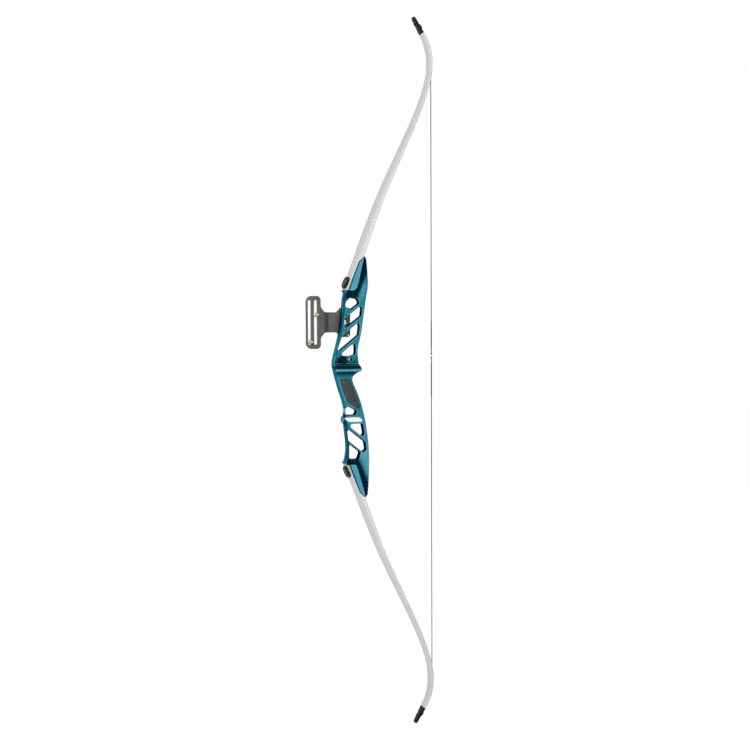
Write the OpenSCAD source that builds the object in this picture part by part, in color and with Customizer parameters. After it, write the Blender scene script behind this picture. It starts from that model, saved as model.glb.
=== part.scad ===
/* [Riser] */
// Height of the riser, from pad end to pad end
riser_len = 529; // [520:1:560]
// Width of the riser across its limb pads
pad_w = 48; // [46:0.5:52]
// Thickness of the riser's web below the grip
web_t = 21; // [19:0.5:24]
// How far the sight window is cut past the bow's centre plane
window_past = 2.5; // [1:0.5:4]
// Thickness of the riser beside the sight window
window_t = 18; // [16:0.5:20]
// Width of the metal grip
grip_w = 26; // [24:0.5:30]
// How far the arrow shelf's lip reaches from the centre plane
lip_reach = 17; // [15:0.5:19]
// Height of the plunger bore above the bow's centre
plunger_z = 39.5; // [38:0.5:41]
// Diameter of the plunger bore
plunger_d = 7.94; // [6:0.01:8.5]
// Distance between the two sight screws
sight_pitch = 33.34; // [31:0.01:35]
// Diameter of the tapped sight holes
sight_hole_d = 4.2; // [3.5:0.1:4.6]
// Depth of the stabiliser bushing, flange included
stabiliser_len = 24; // [18:1:30]
// Diameter of the stabiliser's thread
stabiliser_d = 7.94; // [6:0.01:9]

/* [Grip and badge] */
// Thickness of each rubber grip panel
panel_t = 4; // [3:0.5:5]
// Depth of the recess that a grip panel sits in
panel_recess = 1.5; // [1:0.25:2]
// Thickness of the bare badge plate
badge_t = 1.2; // [0.8:0.1:1.5]
// Clearance round the badge plate in its recess
badge_gap = 0.6; // [0.4:0.1:1]

/* [Limb pockets] */
// Angle of the limb pads from the vertical
pocket_angle = 21.6; // [20:0.1:23]
// Distance of the limb bolt from the pad's end, along the pad
bolt_from_end = 65; // [62:0.5:68]
// Distance of the limb bolt's seat in front of the bow's centre line
pocket_front = 4.9; // [4:0.1:6]
// Depth of a limb pocket's sides, from the pad to their front edge
cheek_h = 7; // [5:0.5:8]
// Diameter of the limb bolt
bolt_d = 7.9; // [7:0.1:8.5]
// Diameter of the brass insert that the bolt screws into
insert_d = 12; // [11:0.5:13]
// Depth of the brass insert
insert_len = 20; // [16:1:22]
// Diameter of the limb bolt's knob
knob_d = 28; // [26:0.5:30]
// Height of the knob
knob_h = 5.5; // [5:0.5:7]
// Diameter of the steel washer under the knob
washer_d = 22; // [20:0.5:24]
// Thickness of the washer
washer_t = 1; // [0.8:0.1:1.5]
// Diameter of the locating pin in the pad
locator_d = 6; // [5:0.1:7]
// Distance from the limb bolt to the locating pin
locator_from_bolt = 38; // [34:1:42]

/* [Limbs] */
// Width of a limb at its butt
limb_w = 42; // [40:0.5:44]
// Width of a limb's butt in its pocket
butt_w = 38; // [36:0.5:39]
// Thickness of a limb in its pocket
butt_t = 8.5; // [8:0.1:9.5]
// Length of the limb's butt below its bolt
butt_tail = 16; // [14:0.5:16]
// Thickness of a limb's working part
working_t = 5.2; // [4.8:0.1:6]
// Thickness of a limb's recurve
recurve_t = 4.4; // [4:0.1:5]
// Width of a limb where its tip begins
limb_end_w = 20; // [18.5:0.5:22]
// Thickness of the tip
tip_t = 5.6; // [5.2:0.1:6.5]
// Length of the tip
tip_len = 40; // [38:0.5:43]
// Width of the tip at its string nock
nock_w = 15; // [14:0.5:17]

/* [String] */
// Diameter of the bowstring's strands
string_d = 1.9; // [1.6:0.1:2]
// Diameter of the string where it is served
serving_d = 2.5; // [2.3:0.1:2.8]
// Height of the nocking point above the bow's centre
nock_z = 45; // [42:0.5:48]
// Half length of the piece of string that the fingers hold, nocking point in its middle
hold_half = 12; // [10:1:14]
// Length of the serving above the nocking point
serving_up = 77; // [60:1:100]
// Length of the serving below the nocking point
serving_down = 90; // [70:1:120]

/* [Sight] */
// Thickness of the sight bracket's plate
plate_t = 3; // [2.5:0.1:3.5]
// Height of the bracket's head
head_h = 115.5; // [110:0.5:120]
// Width of the bracket's head
head_w = 34; // [32:0.5:36]
// Reach of the head's front edge from the bow's centre line
head_reach = 103; // [101:0.5:108]
// Height of the bracket's neck
neck_h = 44.5; // [42:0.5:47]
// Sideways step of the head from the neck
jog = 7; // [6:0.5:8]
// Width of each slot in the head
slot_w = 6.5; // [6:0.1:7]
// Diameter of a sight pin's thread
pin_d = 4.8; // [4:0.1:5]
// Length of a sight pin
pin_len = 28; // [24:1:30]
// Diameter of a knurled sight nut
nut_d = 10; // [9:0.5:10.5]
// Thickness of a knurled sight nut
nut_t = 5; // [4:0.5:6]

/* [Arrow rest] */
// Height of the rest's base
rest_h = 16; // [14:0.5:17]
// Width of the rest's base
rest_w = 10.5; // [9:0.5:12]
// Thickness of the rest's base
rest_t = 2; // [1.6:0.1:2.2]
// Length of the rest's arm
arm_len = 13; // [11:0.5:14]
// Diameter of the rest's arm
arm_d = 2.2; // [2:0.1:2.4]

/* [Fits] */
// Gap between soft or moving pieces and what is next to them
gap = 0.3; // [0.25:0.05:0.4]
// Radial clearance of a turning shaft
running = 0.06; // [0.04:0.01:0.08]

/* [Hidden] */

teal = [0.09, 0.42, 0.55];
limb_grey = [0.78, 0.78, 0.79];
black = [0.06, 0.06, 0.06];
steel = [0.62, 0.63, 0.65];
brass = [0.78, 0.63, 0.34];
plate_grey = [0.36, 0.36, 0.36];

$fn = 48;
far = 400;
half = riser_len / 2;

// The pocket frame: its origin is where the bolt's axis meets the pad, its z runs up the limb
// and its x points back through the pad towards the archer.
pocket_z = half - bolt_from_end * cos(pocket_angle) - 0.6;

function to_world(p) = [
    -pocket_front + p[0] * cos(pocket_angle) + p[1] * sin(pocket_angle),
    pocket_z - p[0] * sin(pocket_angle) + p[1] * cos(pocket_angle)];

module pocket_frame() {
    translate([-pocket_front, 0, pocket_z]) rotate([0, pocket_angle, 0]) children();
}

// Flips what is made for the upper end down to the lower end
module at_end(end) {
    if (end == "upper") children();
    else mirror([0, 0, 1]) children();
}

// Curves through points
function unit(v) = v / norm(v);
function on_curve(a, b, c, d, t) = 0.5 * (2 * b + (c - a) * t + (2 * a - 5 * b + 4 * c - d) * t * t
    + (3 * b - a - 3 * c + d) * t * t * t);
function at(points, i) = points[max(0, min(len(points) - 1, i))];
function along(points, u) = let (i = min(floor(u), len(points) - 2), t = u - i)
    on_curve(at(points, i - 1), at(points, i), at(points, i + 1), at(points, i + 2), t);
function smooth(points, n) = [for (i = [0 : (len(points) - 1) * n]) along(points, i / n)];

// An outline whose corners [x, z, r] are rounded with radius r
function corner(a, b, c, r, n) = let (
        u = unit([a[0] - b[0], a[1] - b[1]]), v = unit([c[0] - b[0], c[1] - b[1]]),
        half_turn = acos(max(-1, min(1, u * v))) / 2,
        reach = r / tan(half_turn), middle = [b[0], b[1]] + unit(u + v) * r / sin(half_turn),
        from = [b[0], b[1]] + u * reach - middle, to = [b[0], b[1]] + v * reach - middle,
        swing = acos(max(-1, min(1, unit(from) * unit(to)))),
        side = sign(from[0] * to[1] - from[1] * to[0]))
    r <= 0 ? [[b[0], b[1]]] : [for (k = [0 : n]) let (t = side * swing * k / n)
        middle + [from[0] * cos(t) - from[1] * sin(t), from[0] * sin(t) + from[1] * cos(t)]];
function rounded(points, n = 5) = [for (i = [0 : len(points) - 1])
    each corner(points[(i + len(points) - 1) % len(points)], points[i],
        points[(i + 1) % len(points)], points[i][2], n)];

// A slab from y0 to y1 whose outline lies in X and Z
module side_slab(y0, y1) {
    translate([0, y1, 0]) rotate([90, 0, 0]) linear_extrude(y1 - y0) children();
}

// A bar along X whose outline lies in Y and Z
module front_slab() {
    rotate([90, 0, 90]) linear_extrude(2 * far, center = true) children();
}

// A solid swept through rings of points, closed with flat ends
module swept(rings) {
    n = len(rings[0]);
    m = len(rings);
    polyhedron(points = [for (r = rings) each r], faces = concat(
        [[for (k = [0 : n - 1]) k]],
        [for (i = [0 : m - 2]) for (k = [0 : n - 1])
            [i * n + k, (i + 1) * n + k, (i + 1) * n + (k + 1) % n, i * n + (k + 1) % n]],
        [[for (k = [n - 1 : -1 : 0]) (m - 1) * n + k]]));
}

function tangent(p, i) = unit(p[min(i + 1, len(p) - 1)] - p[max(i - 1, 0)]);

// An eight-sided tube along points that lie in the bow's centre plane
module flat_tube(points, r) {
    swept([for (i = [0 : len(points) - 1]) let (t = tangent(points, i), s = cross(t, [0, 1, 0]))
        [for (k = [0 : 7]) points[i] + r * (cos(45 * k) * [0, 1, 0] + sin(45 * k) * s)]]);
}

// RISER
window_far = window_past + window_t;
pad_half = pad_w / 2;
web_half = web_t / 2;
grip_half = grip_w / 2;
pad_len = 75;
pad_foot = half - pad_len;
web_top = pad_foot - 11.5;

// Heights beyond the grip stand at their share of the way from the grip to the pads
grip_end = 60;
usual_foot = 189.5;
function stretched(z) = abs(z) <= grip_end ? z
    : sign(z) * (grip_end + (abs(z) - grip_end) * (pad_foot - grip_end) / (usual_foot - grip_end));
function at_height(points) = [for (p = points) [stretched(p[0]), p[1]]];

boss_z = stretched(-92);
boss_front = 27;
sight_x = -14.3;
sight_mid = stretched(121.3);
plunger_x = -4;

// Where the riser's outlines stand at each height, as [z, x]
function cheek_edge(z) = -pocket_front - cheek_h / cos(pocket_angle)
    + (z - pocket_z) * tan(pocket_angle);
lower_front = smooth(at_height([[-usual_foot, -22], [-177, -18.8], [-158, -16.2], [-142, -16.8],
    [-122, -19], [-100, -21.6], [-82, -22], [-70, -21.2], [-57, -23.2], [-37, -29.5],
    [-15, -36.6], [8, -42.5], [24, -45]]), 3);
upper_front = smooth(at_height([[24, -45], [41, -42.2], [64, -36.5], [92, -29.4], [125, -24],
    [155, -21], [177, -18.8], [usual_foot, -19.4]]), 3);
pad_front = [for (z = [pad_foot + 1, half - 11.5]) [z, cheek_edge(z)]];
pad_nose = [[half - 6.5, 13.5], [half - 3, 16.5], [half, 20]];
front_line = concat([for (p = pad_nose) [-p[0], p[1]]], [for (p = pad_front) [-p[0], p[1]]],
    lower_front, upper_front, pad_front, pad_nose);
rear_line = concat(
    smooth(concat([[-half, 26.5], [-half + 8, 29], [-half + 32, 32.2]],
        at_height([[-178, 33.7], [-138, 31.2], [-98, 25.5], [-73, 20], [-51.5, 13.6], [-31.3, 6],
            [-12.4, -2.4], [-3.4, -4.8], [3.6, -3], [9.6, 4], [15.8, 15.6]])), 4),
    smooth(concat(at_height([[17.6, 15.4], [38, 14.2], [54, 12.8], [69, 14.4], [97, 21.2],
            [132, 26.6], [172, 32.4]]),
        [[half - 60, 33.2], [half - 32, 31.8], [half - 8, 28.5], [half, 26.5]]), 4));
// The rear edge of the wide pads, in front of the narrow spine
upper_flange = [for (p = [[0, -5], [1.5, 0], [7.5, 5.4], [26.5, 11.3], [55.5, 17.2], [pad_len, 21]])
    [pad_foot + p[0], p[1]]];
flange_line = concat([for (p = upper_flange) [-p[0], p[1]]], [[-pad_foot + 6, 0], [pad_foot - 6, 0]],
    upper_flange);
// The sides of the riser, near and far, for its front part and for its spine
upper_pad = [[pad_foot - 4, web_half + 1.5], [pad_foot, pad_half - 3], [pad_foot + 1.5, pad_half],
    [half - 6, pad_half], [half, pad_half - 5]];
lower_pad = [for (p = upper_pad) [-p[0], p[1]]];
waist = [[-web_top, web_half], [-70, web_half], [-60, grip_half], [4, grip_half]];
near_line = concat(lower_pad, waist, [[9, lip_reach - 2], [13, lip_reach], [18, lip_reach - 1],
    [19.5, lip_reach - 3], [21.5, lip_reach - 3], [24.5, lip_reach - 6], [28, 3],
    [30.5, -window_past], [web_top - 7, -window_past], [web_top, web_half - 1]], upper_pad);
far_line = concat(lower_pad, waist, [[14, grip_half], [34, window_past + window_t],
    [web_top - 4, window_past + window_t], [pad_foot - 5, web_half + 2]], upper_pad);
spine_near = concat([[-half, web_half - 1], [-web_top, web_half]], waist,
    [for (p = near_line) if (p[0] > 5 && p[0] <= web_top) p], [[half, web_half - 1]]);
spine_far = concat([[-half, web_half - 1], [-web_top, web_half]], waist,
    [for (p = far_line) if (p[0] > 5 && p[0] <= web_top) p], [[half, web_half - 1]]);
function edge_at(z) = lookup(z, [[-half, 1], [-pad_foot - 10.5, 1.5], [-75, 2.5], [-55, 5],
    [-5, 5], [8, 3], [28, 2], [web_top, 2.5], [pad_foot + 10.5, 1.5], [half, 1]]);
pad_heights = [for (d = [-6.5, -1.5, 1, 1.5, 4, 7.5, 14.5, 24.5, 36.5, 48.5, 60.5, 68.5, 72.5, pad_len])
    pad_foot + d];
riser_heights = concat(
    [for (i = [len(pad_heights) - 1 : -1 : 0]) -pad_heights[i]],
    [for (z = [-web_top : 6 : -76]) z], [for (z = [-70 : 5 : -5]) z],
    [-2, 1, 4, 6.5, 9, 11, 13, 15.8, 17.6, 19.5, 21.5, 24.5, 28, 30.5, 34],
    [for (z = [39 : 6.5 : web_top - 7]) z],
    [web_top], pad_heights);
shoulder = 6;

// One level section of the riser: a front part, a step to the spine, and bevelled long edges
function riser_ring(z) = let (f = lookup(z, front_line), r = lookup(z, rear_line), b = edge_at(z),
        step = min(shoulder, (r - f - 2 * b - 1) / 2),
        m = max(f + b + 0.5, min(lookup(z, flange_line), r - b - step - 0.5)),
        n = -lookup(z, near_line), p = -lookup(z, spine_near),
        w = lookup(z, far_line), q = lookup(z, spine_far))
    [[f + b, n, z], [m, n, z], [m + step, p, z], [r - b, p, z], [r, p + b, z], [r, q - b, z],
        [r - b, q, z], [m + step, q, z], [m, w, z], [f + b, w, z], [f, w - b, z], [f, n + b, z]];

// Outlines on the riser's side, as corners [x, z, radius]
function side_outline(points) = [for (p = points) [p[0], stretched(p[1]), p[2]]];

// The cut-outs between the riser's trusses
cut_outs = [
    [[-15.5, 156, 2], [-14.5, 166, 5], [-3, 176, 6], [14, 172, 5], [17.2, 163, 3], [-4, 148, 2]],
    [[-17.5, 128.5, 3], [14.5, 153.5, 0], [22.5, 159.5, 5], [24, 151, 3], [21.8, 135.5, 3],
        [-9, 112, 3], [-17, 109, 3]],
    [[-23.6, 90.5, 3], [7.5, 115.5, 0], [16.4, 121.5, 4], [18, 113, 3], [15.6, 93.5, 4],
        [-27, 60, 3], [-34.5, 60, 2.5]],
    [[-23.5, 54, 1.5], [-4.5, 69.5, 0], [6.8, 75.5, 3], [8.2, 68, 2], [7.6, 50, 4],
        [-3, 47.2, 2], [-23, 47.6, 2]],
    [[-21, -66.5, 3], [-14, -62.5, 2.5], [6.5, -73, 5], [2.5, -82.5, 5], [-21.2, -81.5, 2]],
    [[-9, -101.5, 3.5], [19.5, -101.5, 5], [23.6, -127, 5], [16.5, -129.5, 2.5],
        [-9, -109.5, 3]],
    [[-17.5, -116, 3], [-10, -114.5, 2.5], [25, -142.5, 4], [28, -160, 4], [20, -166, 3],
        [-15, -138, 3]],
    [[-13, -149, 2.5], [-7.5, -148, 1.5], [14.5, -165.5, 4.5], [9, -181, 5.5], [-13, -179.5, 3]]];

badge_outline = side_outline([[-25, -89, 1], [-21, -86.5, 1.5], [10, -87, 4], [19, -93, 3],
    [15.5, -98.3, 2.5], [-14.5, -97.3, 2]]);
panel_outline = [[-34.5, -3, 2], [-11.5, -3, 2], [-9, -10.5, 8], [-1, -29, 30], [10.8, -61, 3],
    [10.2, -67.5, 2], [-4, -62.5, 14], [-19, -50.5, 16], [-30, -26, 40]];

// An outline drawn in by d all round
function area(points) = let (n = len(points)) [for (i = 0, a = 0; i <= n;
    a = a + (i < n ? cross(points[i], points[(i + 1) % n]) : 0), i = i + 1) a][n];
function inset(points, d) = let (n = len(points), side = sign(area(points)))
    [for (i = [0 : n - 1]) let (t = unit(points[(i + 1) % n] - points[(i + n - 1) % n]))
        points[i] + side * d * [-t[1], t[0]]];

badge_depth = 1.5;
locator_seat = 12;
butt_end = 61;
butt_draft = 0.35;
// The bores that fasteners and inserts sit in
module pocket_bores() {
    for (end = ["upper", "lower"]) at_end(end) pocket_frame() {
        rotate([0, 90, 0]) cylinder(h = insert_len, d = insert_d + 2 * running);
        translate([0, 0, locator_from_bolt]) rotate([0, 90, 0])
            cylinder(h = locator_seat, d = locator_d + 2 * running);
    }
}

// A limb's butt seen square to the pad, with room g round it: narrow in its pocket, then widening
module butt_outline(g, end) {
    polygon(rounded([[-butt_tail - g, -butt_w / 2 - g, 4 + g], [20, -butt_w / 2 - g, 60],
        [butt_end, -limb_w / 2 + (g > 0 ? -g : butt_draft), 0],
        [end, -limb_w / 2 + (g > 0 ? -g : butt_draft), 0],
        [end, limb_w / 2 - (g > 0 ? -g : butt_draft), 0],
        [butt_end, limb_w / 2 - (g > 0 ? -g : butt_draft), 0],
        [20, butt_w / 2 + g, 60], [-butt_tail - g, butt_w / 2 + g, 4 + g]]));
}

module butt_slab(x0, x1, g, end) {
    translate([x0, 0, 0]) rotate([90, 0, 90]) linear_extrude(x1 - x0)
        rotate([0, 0, 90]) mirror([0, 1, 0]) butt_outline(g, end);
}

// The room that a limb's butt lies in, open to the front and to the pad's end
module limb_room() {
    pocket_frame() butt_slab(-60, 0, gap, 200);
}

module riser() {
    color(teal) difference() {
        union() {
            swept([for (z = riser_heights) riser_ring(z)]);
            translate([-boss_front + 2, 0, boss_z]) rotate([0, 90, 0]) cylinder(h = 8, r = 8.5);
        }
        for (end = ["upper", "lower"]) at_end(end) limb_room();
        for (c = cut_outs) side_slab(-far, far) polygon(rounded(side_outline(c)));
        translate([plunger_x, 0, plunger_z]) rotate([90, 0, 0])
            cylinder(h = far, d = plunger_d, center = true);
        for (s = [-1, 1]) translate([sight_x, 0, sight_mid + s * sight_pitch / 2])
            rotate([90, 0, 0]) cylinder(h = far, d = sight_hole_d, center = true);
        translate([-boss_front - 5, 0, boss_z]) rotate([0, 90, 0])
            cylinder(h = 5 + stabiliser_len, d = insert_d + 2 * running);
        pocket_bores();
        side_slab(-web_half - 5, -web_half + badge_depth) polygon(rounded(badge_outline));
        for (s = [-1, 1]) side_slab(s * grip_half - panel_recess, s * grip_half + panel_recess)
            polygon(rounded(panel_outline));
    }
}

// A panel's lower layer fills its recess, and its upper one is drawn in from the edge
panel_layers = [[panel_t - 1.2, 0.5], [panel_t, 1.6]];
module grip_panel(s) {
    inner = grip_half - panel_recess;
    color(black) for (layer = panel_layers)
        side_slab(min(s * inner, s * (inner + layer[0])), max(s * inner, s * (inner + layer[0])))
            polygon(inset(rounded(panel_outline), layer[1]));
}

module badge_plate() {
    top = web_half - badge_depth + badge_t;
    color([0.95, 0.95, 0.94]) side_slab(-top, -web_half + badge_depth)
        polygon(inset(rounded(badge_outline), badge_gap));
}

module stabiliser_bushing() {
    color(steel) translate([-boss_front, 0, boss_z]) rotate([0, 90, 0]) difference() {
        union() {
            cylinder(h = 2, r = 7.5);
            cylinder(h = stabiliser_len, d = insert_d);
        }
        translate([0, 0, -1]) cylinder(h = stabiliser_len + 2, d = stabiliser_d);
    }
}

// LIMB POCKETS
bolt_bore = bolt_d + 2 * running;

module bolt_insert(end) {
    color(brass) at_end(end) pocket_frame() rotate([0, 90, 0]) difference() {
        cylinder(h = insert_len, d = insert_d);
        translate([0, 0, -1]) cylinder(h = insert_len + 2, d = bolt_bore);
    }
}

module locating_pin(end) {
    color(steel) at_end(end) pocket_frame() translate([-5, 0, locator_from_bolt])
        rotate([0, 90, 0]) cylinder(h = 17, d = locator_d);
}

module washer(end) {
    color(steel) at_end(end) pocket_frame() translate([-butt_t - washer_t, 0, 0])
        rotate([0, 90, 0]) difference() {
            cylinder(h = washer_t, d = washer_d);
            translate([0, 0, -1]) cylinder(h = washer_t + 2, d = bolt_bore + 0.4);
        }
}

knob_seat = butt_t + washer_t + 0.1;
dish_depth = 2;
head_d = 13;
// The knob's side tapers to its rim, and its face is dished round the bolt's head
module knob(end) {
    color(black) at_end(end) pocket_frame() translate([-knob_seat, 0, 0]) rotate([0, -90, 0])
        difference() {
            rotate_extrude() polygon([[0, 0], [knob_d / 2 - 1, 0], [knob_d / 2, 1],
                [knob_d / 2, knob_h - 1.2], [knob_d / 2 - 1.5, knob_h], [knob_d / 2 - 3.5, knob_h],
                [knob_d / 2 - 5, knob_h - dish_depth], [0, knob_h - dish_depth]]);
            translate([0, 0, -1]) cylinder(h = knob_h + 2, d = bolt_d + 0.1);
        }
}

module bolt(end) {
    shank = insert_len - 3;
    seat = knob_seat + knob_h - dish_depth;
    color(steel) at_end(end) pocket_frame() rotate([0, -90, 0]) difference() {
        union() {
            translate([0, 0, -shank]) cylinder(h = shank + seat, d = bolt_d);
            translate([0, 0, seat]) cylinder(h = dish_depth - 0.3, d = head_d);
        }
        translate([0, 0, seat - 1.5]) cylinder(h = 5, r = 3.5, $fn = 6);
    }
}

// LIMBS
// The limb's back, in the pocket frame: [towards the archer, along the limb]
back_line = [[-butt_t, 60], [-9.2, 108], [-8.9, 158], [-7.6, 210], [-4.4, 263], [-0.2, 315], [4, 370],
    [6.4, 425], [5.2, 470], [1.6, 499], [-4.8, 521.4], [-14.4, 543.3], [-29.5, 563.2],
    [-47, 578.4]];
last = len(back_line) - 1;
flex_at = 2;
before = [-butt_t, 12];
beyond = [-63.1, 588.4];
back_points = concat([before], back_line, [beyond]);
function back_at(u) = let (i = max(0, min(floor(u), last - 1)), t = u - i)
    on_curve(back_points[i], back_points[i + 1], back_points[i + 2], back_points[i + 3], t);
function thick_at(u) = lookup(back_at(u)[1], [[60, butt_t], [66, butt_t - 0.1], [90, butt_t + 0.7],
    [125, butt_t - 0.2], [180, working_t + 1.9], [247, working_t + 1.1], [370, working_t - 0.2], [470, recurve_t + 0.1],
    [580, recurve_t]]);
function width_at(u) = lookup(back_at(u)[1], [[60, limb_w - 0.7], [85, limb_w], [130, limb_w],
    [241, limb_w - 2], [363, limb_w - 6], [430, limb_w - 10.5], [500, limb_w - 13.5],
    [545, limb_w - 16], [579, limb_end_w]]);
function along_at(u) = unit(back_at(u + 0.01) - back_at(u - 0.01));
function belly_way(u) = let (t = along_at(u)) [t[1], -t[0]];

// One ring of the limb's section, with its long edges bevelled
function section(base, out, thick, width, bevel) = let (w = width / 2, b = bevel)
    [for (q = [[0, b - w], [b, -w], [thick - b, -w], [thick, b - w],
        [thick, w - b], [thick - b, w], [b, w], [0, w - b]])
        [base[0] + out[0] * q[0], q[1], base[1] + out[1] * q[0]]];

module limb_part(from, to, steps) {
    swept([for (i = [0 : steps]) let (u = from + (to - from) * i / steps)
        section(back_at(u), belly_way(u), thick_at(u), width_at(u), 0.7)]);
}

flex_r = thick_at(flex_at) / 2;
flex_point = back_at(flex_at) + belly_way(flex_at) * flex_r;
module flex_knuckle(r, w) {
    translate([flex_point[0], 0, flex_point[1]]) rotate([90, 0, 0])
        cylinder(h = w, r = r, center = true);
}

module limb_butt(end) {
    color(limb_grey) at_end(end) pocket_frame() difference() {
        union() {
            butt_slab(-butt_t, 0, 0, butt_end + 0.01);
            limb_part(0, flex_at, 10);
        }
        flex_knuckle(flex_r + gap, limb_w + 2);
        rotate([0, 90, 0]) cylinder(h = 4 * butt_t, d = bolt_bore + 0.6, center = true);
        translate([0, 0, locator_from_bolt]) rotate([0, 90, 0])
            cylinder(h = 4 * butt_t, d = locator_d + 0.2, center = true);
    }
}

module limb_blade(end) {
    color(limb_grey) at_end(end) pocket_frame() {
        limb_part(flex_at, last, 51);
        flex_knuckle(flex_r, width_at(flex_at));
    }
}

// TIPS, in the tip frame: a runs out along the tip, b from its back to its belly
tip_start = back_at(last);
tip_way = unit(beyond - back_line[last - 1]);
tip_belly = [tip_way[1], -tip_way[0]];
under = -0.5;
over = under + tip_t;
nock_a = 22;
function tip_width(a) = lookup(a, [[0, limb_end_w], [9, limb_end_w - 2], [nock_a - 5, nock_w + 0.8],
    [nock_a, nock_w], [nock_a + 6, nock_w - 1], [tip_len - 8, nock_w - 3], [tip_len - 3, nock_w - 5.5],
    [tip_len, nock_w - 9]]);
function tip_point(a, b, y) = let (p = tip_start + tip_way * a + tip_belly * b) [p[0], y, p[1]];

module tip_block() {
    swept([for (a = [0, 5, 9, 13, 17, 22, 25, 28, 31, 34, 36, 38, tip_len])
        section(tip_start + tip_way * a + tip_belly * under, tip_belly,
            a > tip_len - 6 ? tip_t - (a - tip_len + 6) * 0.35 : tip_t, tip_width(a), 0.9)]);
}

loop_r = 1.3;
throat_a = 8;
throat_b = over + loop_r + gap;
nock_y = nock_w / 2 - 0.6;
// Half of the loop, from its throat on the belly round the nock to the back
loop_half = [[throat_a, throat_b, 0], [throat_a + 0.7, throat_b, 2.2], [throat_a + 4, throat_b, 5.5],
    [nock_a - 6, throat_b - 0.4, nock_y - 1.6], [nock_a - 2.5, throat_b - 2.2, nock_y - 0.2],
    [nock_a - 0.5, throat_b - 5, nock_y + 0.1], [nock_a + 1, under + 0.8, nock_y - 0.6],
    [nock_a + 1.8, under - 1.1, nock_y - 2.8], [nock_a + 2.3, under - loop_r - gap, nock_y - 6],
    [nock_a + 2.4, under - loop_r - gap, 0]];
loop_all = concat(loop_half, [for (i = [len(loop_half) - 2 : -1 : 1])
    [loop_half[i][0], loop_half[i][1], -loop_half[i][2]]]);
function loop_point(i) = loop_all[(i + len(loop_all)) % len(loop_all)];
function loop_at(u) = let (i = floor(u), t = u - i)
    on_curve(loop_point(i - 1), loop_point(i), loop_point(i + 1), loop_point(i + 2), t);

module loop_tube(r) {
    n = len(loop_all) * 2;
    ring_points = [for (i = [0 : n - 1]) let (p = loop_at(i / 2)) tip_point(p[0], p[1], p[2])];
    middle = tip_point(nock_a - 7, 3, 0);
    points = [for (i = [0 : n - 1]) let (
            t = unit(ring_points[(i + 1) % n] - ring_points[(i + n - 1) % n]),
            s = unit(cross(t, ring_points[i] - middle)), o = cross(t, s))
        each [for (k = [0 : 7]) ring_points[i] + r * (cos(45 * k) * s + sin(45 * k) * o)]];
    polyhedron(points = points, faces = [for (i = [0 : n - 1]) for (k = [0 : 7]) let (j = (i + 1) % n)
        [i * 8 + k, j * 8 + k, j * 8 + (k + 1) % 8, i * 8 + (k + 1) % 8]]);
}

module tip(end) {
    color(black) at_end(end) pocket_frame() difference() {
        tip_block();
        loop_tube(loop_r + gap);
    }
}

module loop(end) {
    color(black) at_end(end) pocket_frame() loop_tube(loop_r);
}

// BOWSTRING
strand_r = string_d / 2;
function lying(u, off) = back_at(u) + belly_way(u) * (thick_at(u) + off);
// The string's straight part stands just behind the limb's furthest point
lie_us = [for (i = [0 : 40]) last - 4 + i * 3 / 40];
lie_x = [for (u = lie_us) to_world(lying(u, strand_r + gap))[0]];
string_x = max(lie_x);
leave = [for (i = [0 : 40]) if (lie_x[i] == string_x) lie_us[i]][0];

function turned(p) = [p[0], 0, p[1]];
throat = tip_start + tip_way * throat_a + tip_belly * throat_b;
throat_world = to_world(throat);
lying_us = [for (u = [leave : (last - 0.5 - leave) / 7 : last - 0.49]) u];
lying_points = [for (u = lying_us) to_world(lying(u, strand_r + gap))];
end_point = let (d = unit(throat_world - to_world(lying(last - 0.2, strand_r + gap))))
    throat_world - d * (loop_r + gap);
// The string from its foot at height foot up to the loop, at the upper or the lower limb
function string_route(foot) = concat([[string_x, 0, foot], [string_x, 0, lying_points[0][1] - 60]],
    [for (p = lying_points) turned(p)],
    [turned(to_world(lying(last - 0.2, strand_r + gap + 0.4)))], [turned(end_point)]);

function foot_of(end) = end == "upper" ? nock_z + hold_half + gap : -nock_z + hold_half + gap;

module string_half(end) {
    color(black) at_end(end) flat_tube(string_route(foot_of(end)), strand_r);
}

module end_serving(end) {
    served = concat([[string_x, 0, lying_points[0][1] - 60]], [for (p = lying_points) turned(p)]);
    color([0.12, 0.12, 0.13]) at_end(end) difference() {
        flat_tube(served, strand_r + gap - 0.05);
        flat_tube(string_route(foot_of(end)), strand_r);
    }
}

module sleeve(x, z0, z1, outer, inner) {
    translate([x, 0, z0]) difference() {
        cylinder(h = z1 - z0, d = outer);
        translate([0, 0, -1]) cylinder(h = z1 - z0 + 2, d = inner);
    }
}

// The serving leaves the strands bare where the string's pieces meet
bare_end = 3.5;
module serving(end) {
    foot = foot_of(end);
    run = (end == "upper" ? serving_up : serving_down) - hold_half;
    color([0.12, 0.12, 0.13]) at_end(end)
        sleeve(string_x, foot + bare_end, foot + run, serving_d, string_d + 2 * running);
}

module centre_strands() {
    color(black) translate([string_x, 0, nock_z - hold_half]) cylinder(h = 2 * hold_half, d = string_d);
}

module centre_serving() {
    color([0.12, 0.12, 0.13])
        sleeve(string_x, nock_z - hold_half + bare_end, nock_z + hold_half - bare_end, serving_d,
            string_d + 2 * running);
}

module nocking_point() {
    color(brass) sleeve(string_x, nock_z - 2, nock_z + 2, serving_d + 1.7, serving_d + 2 * running);
}

// SIGHT
plate_y = window_far;
head_y = plate_y - jog;
head_rear = -head_reach + head_w;
jog_rear = -49;
jog_front = -61;
plate_rear = 1.5;
head_mid = sight_mid;
plate_half = 32.6;
slot_front_x = -head_reach + 7.8;
slot_rear_x = slot_front_x + 14.2;

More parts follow.
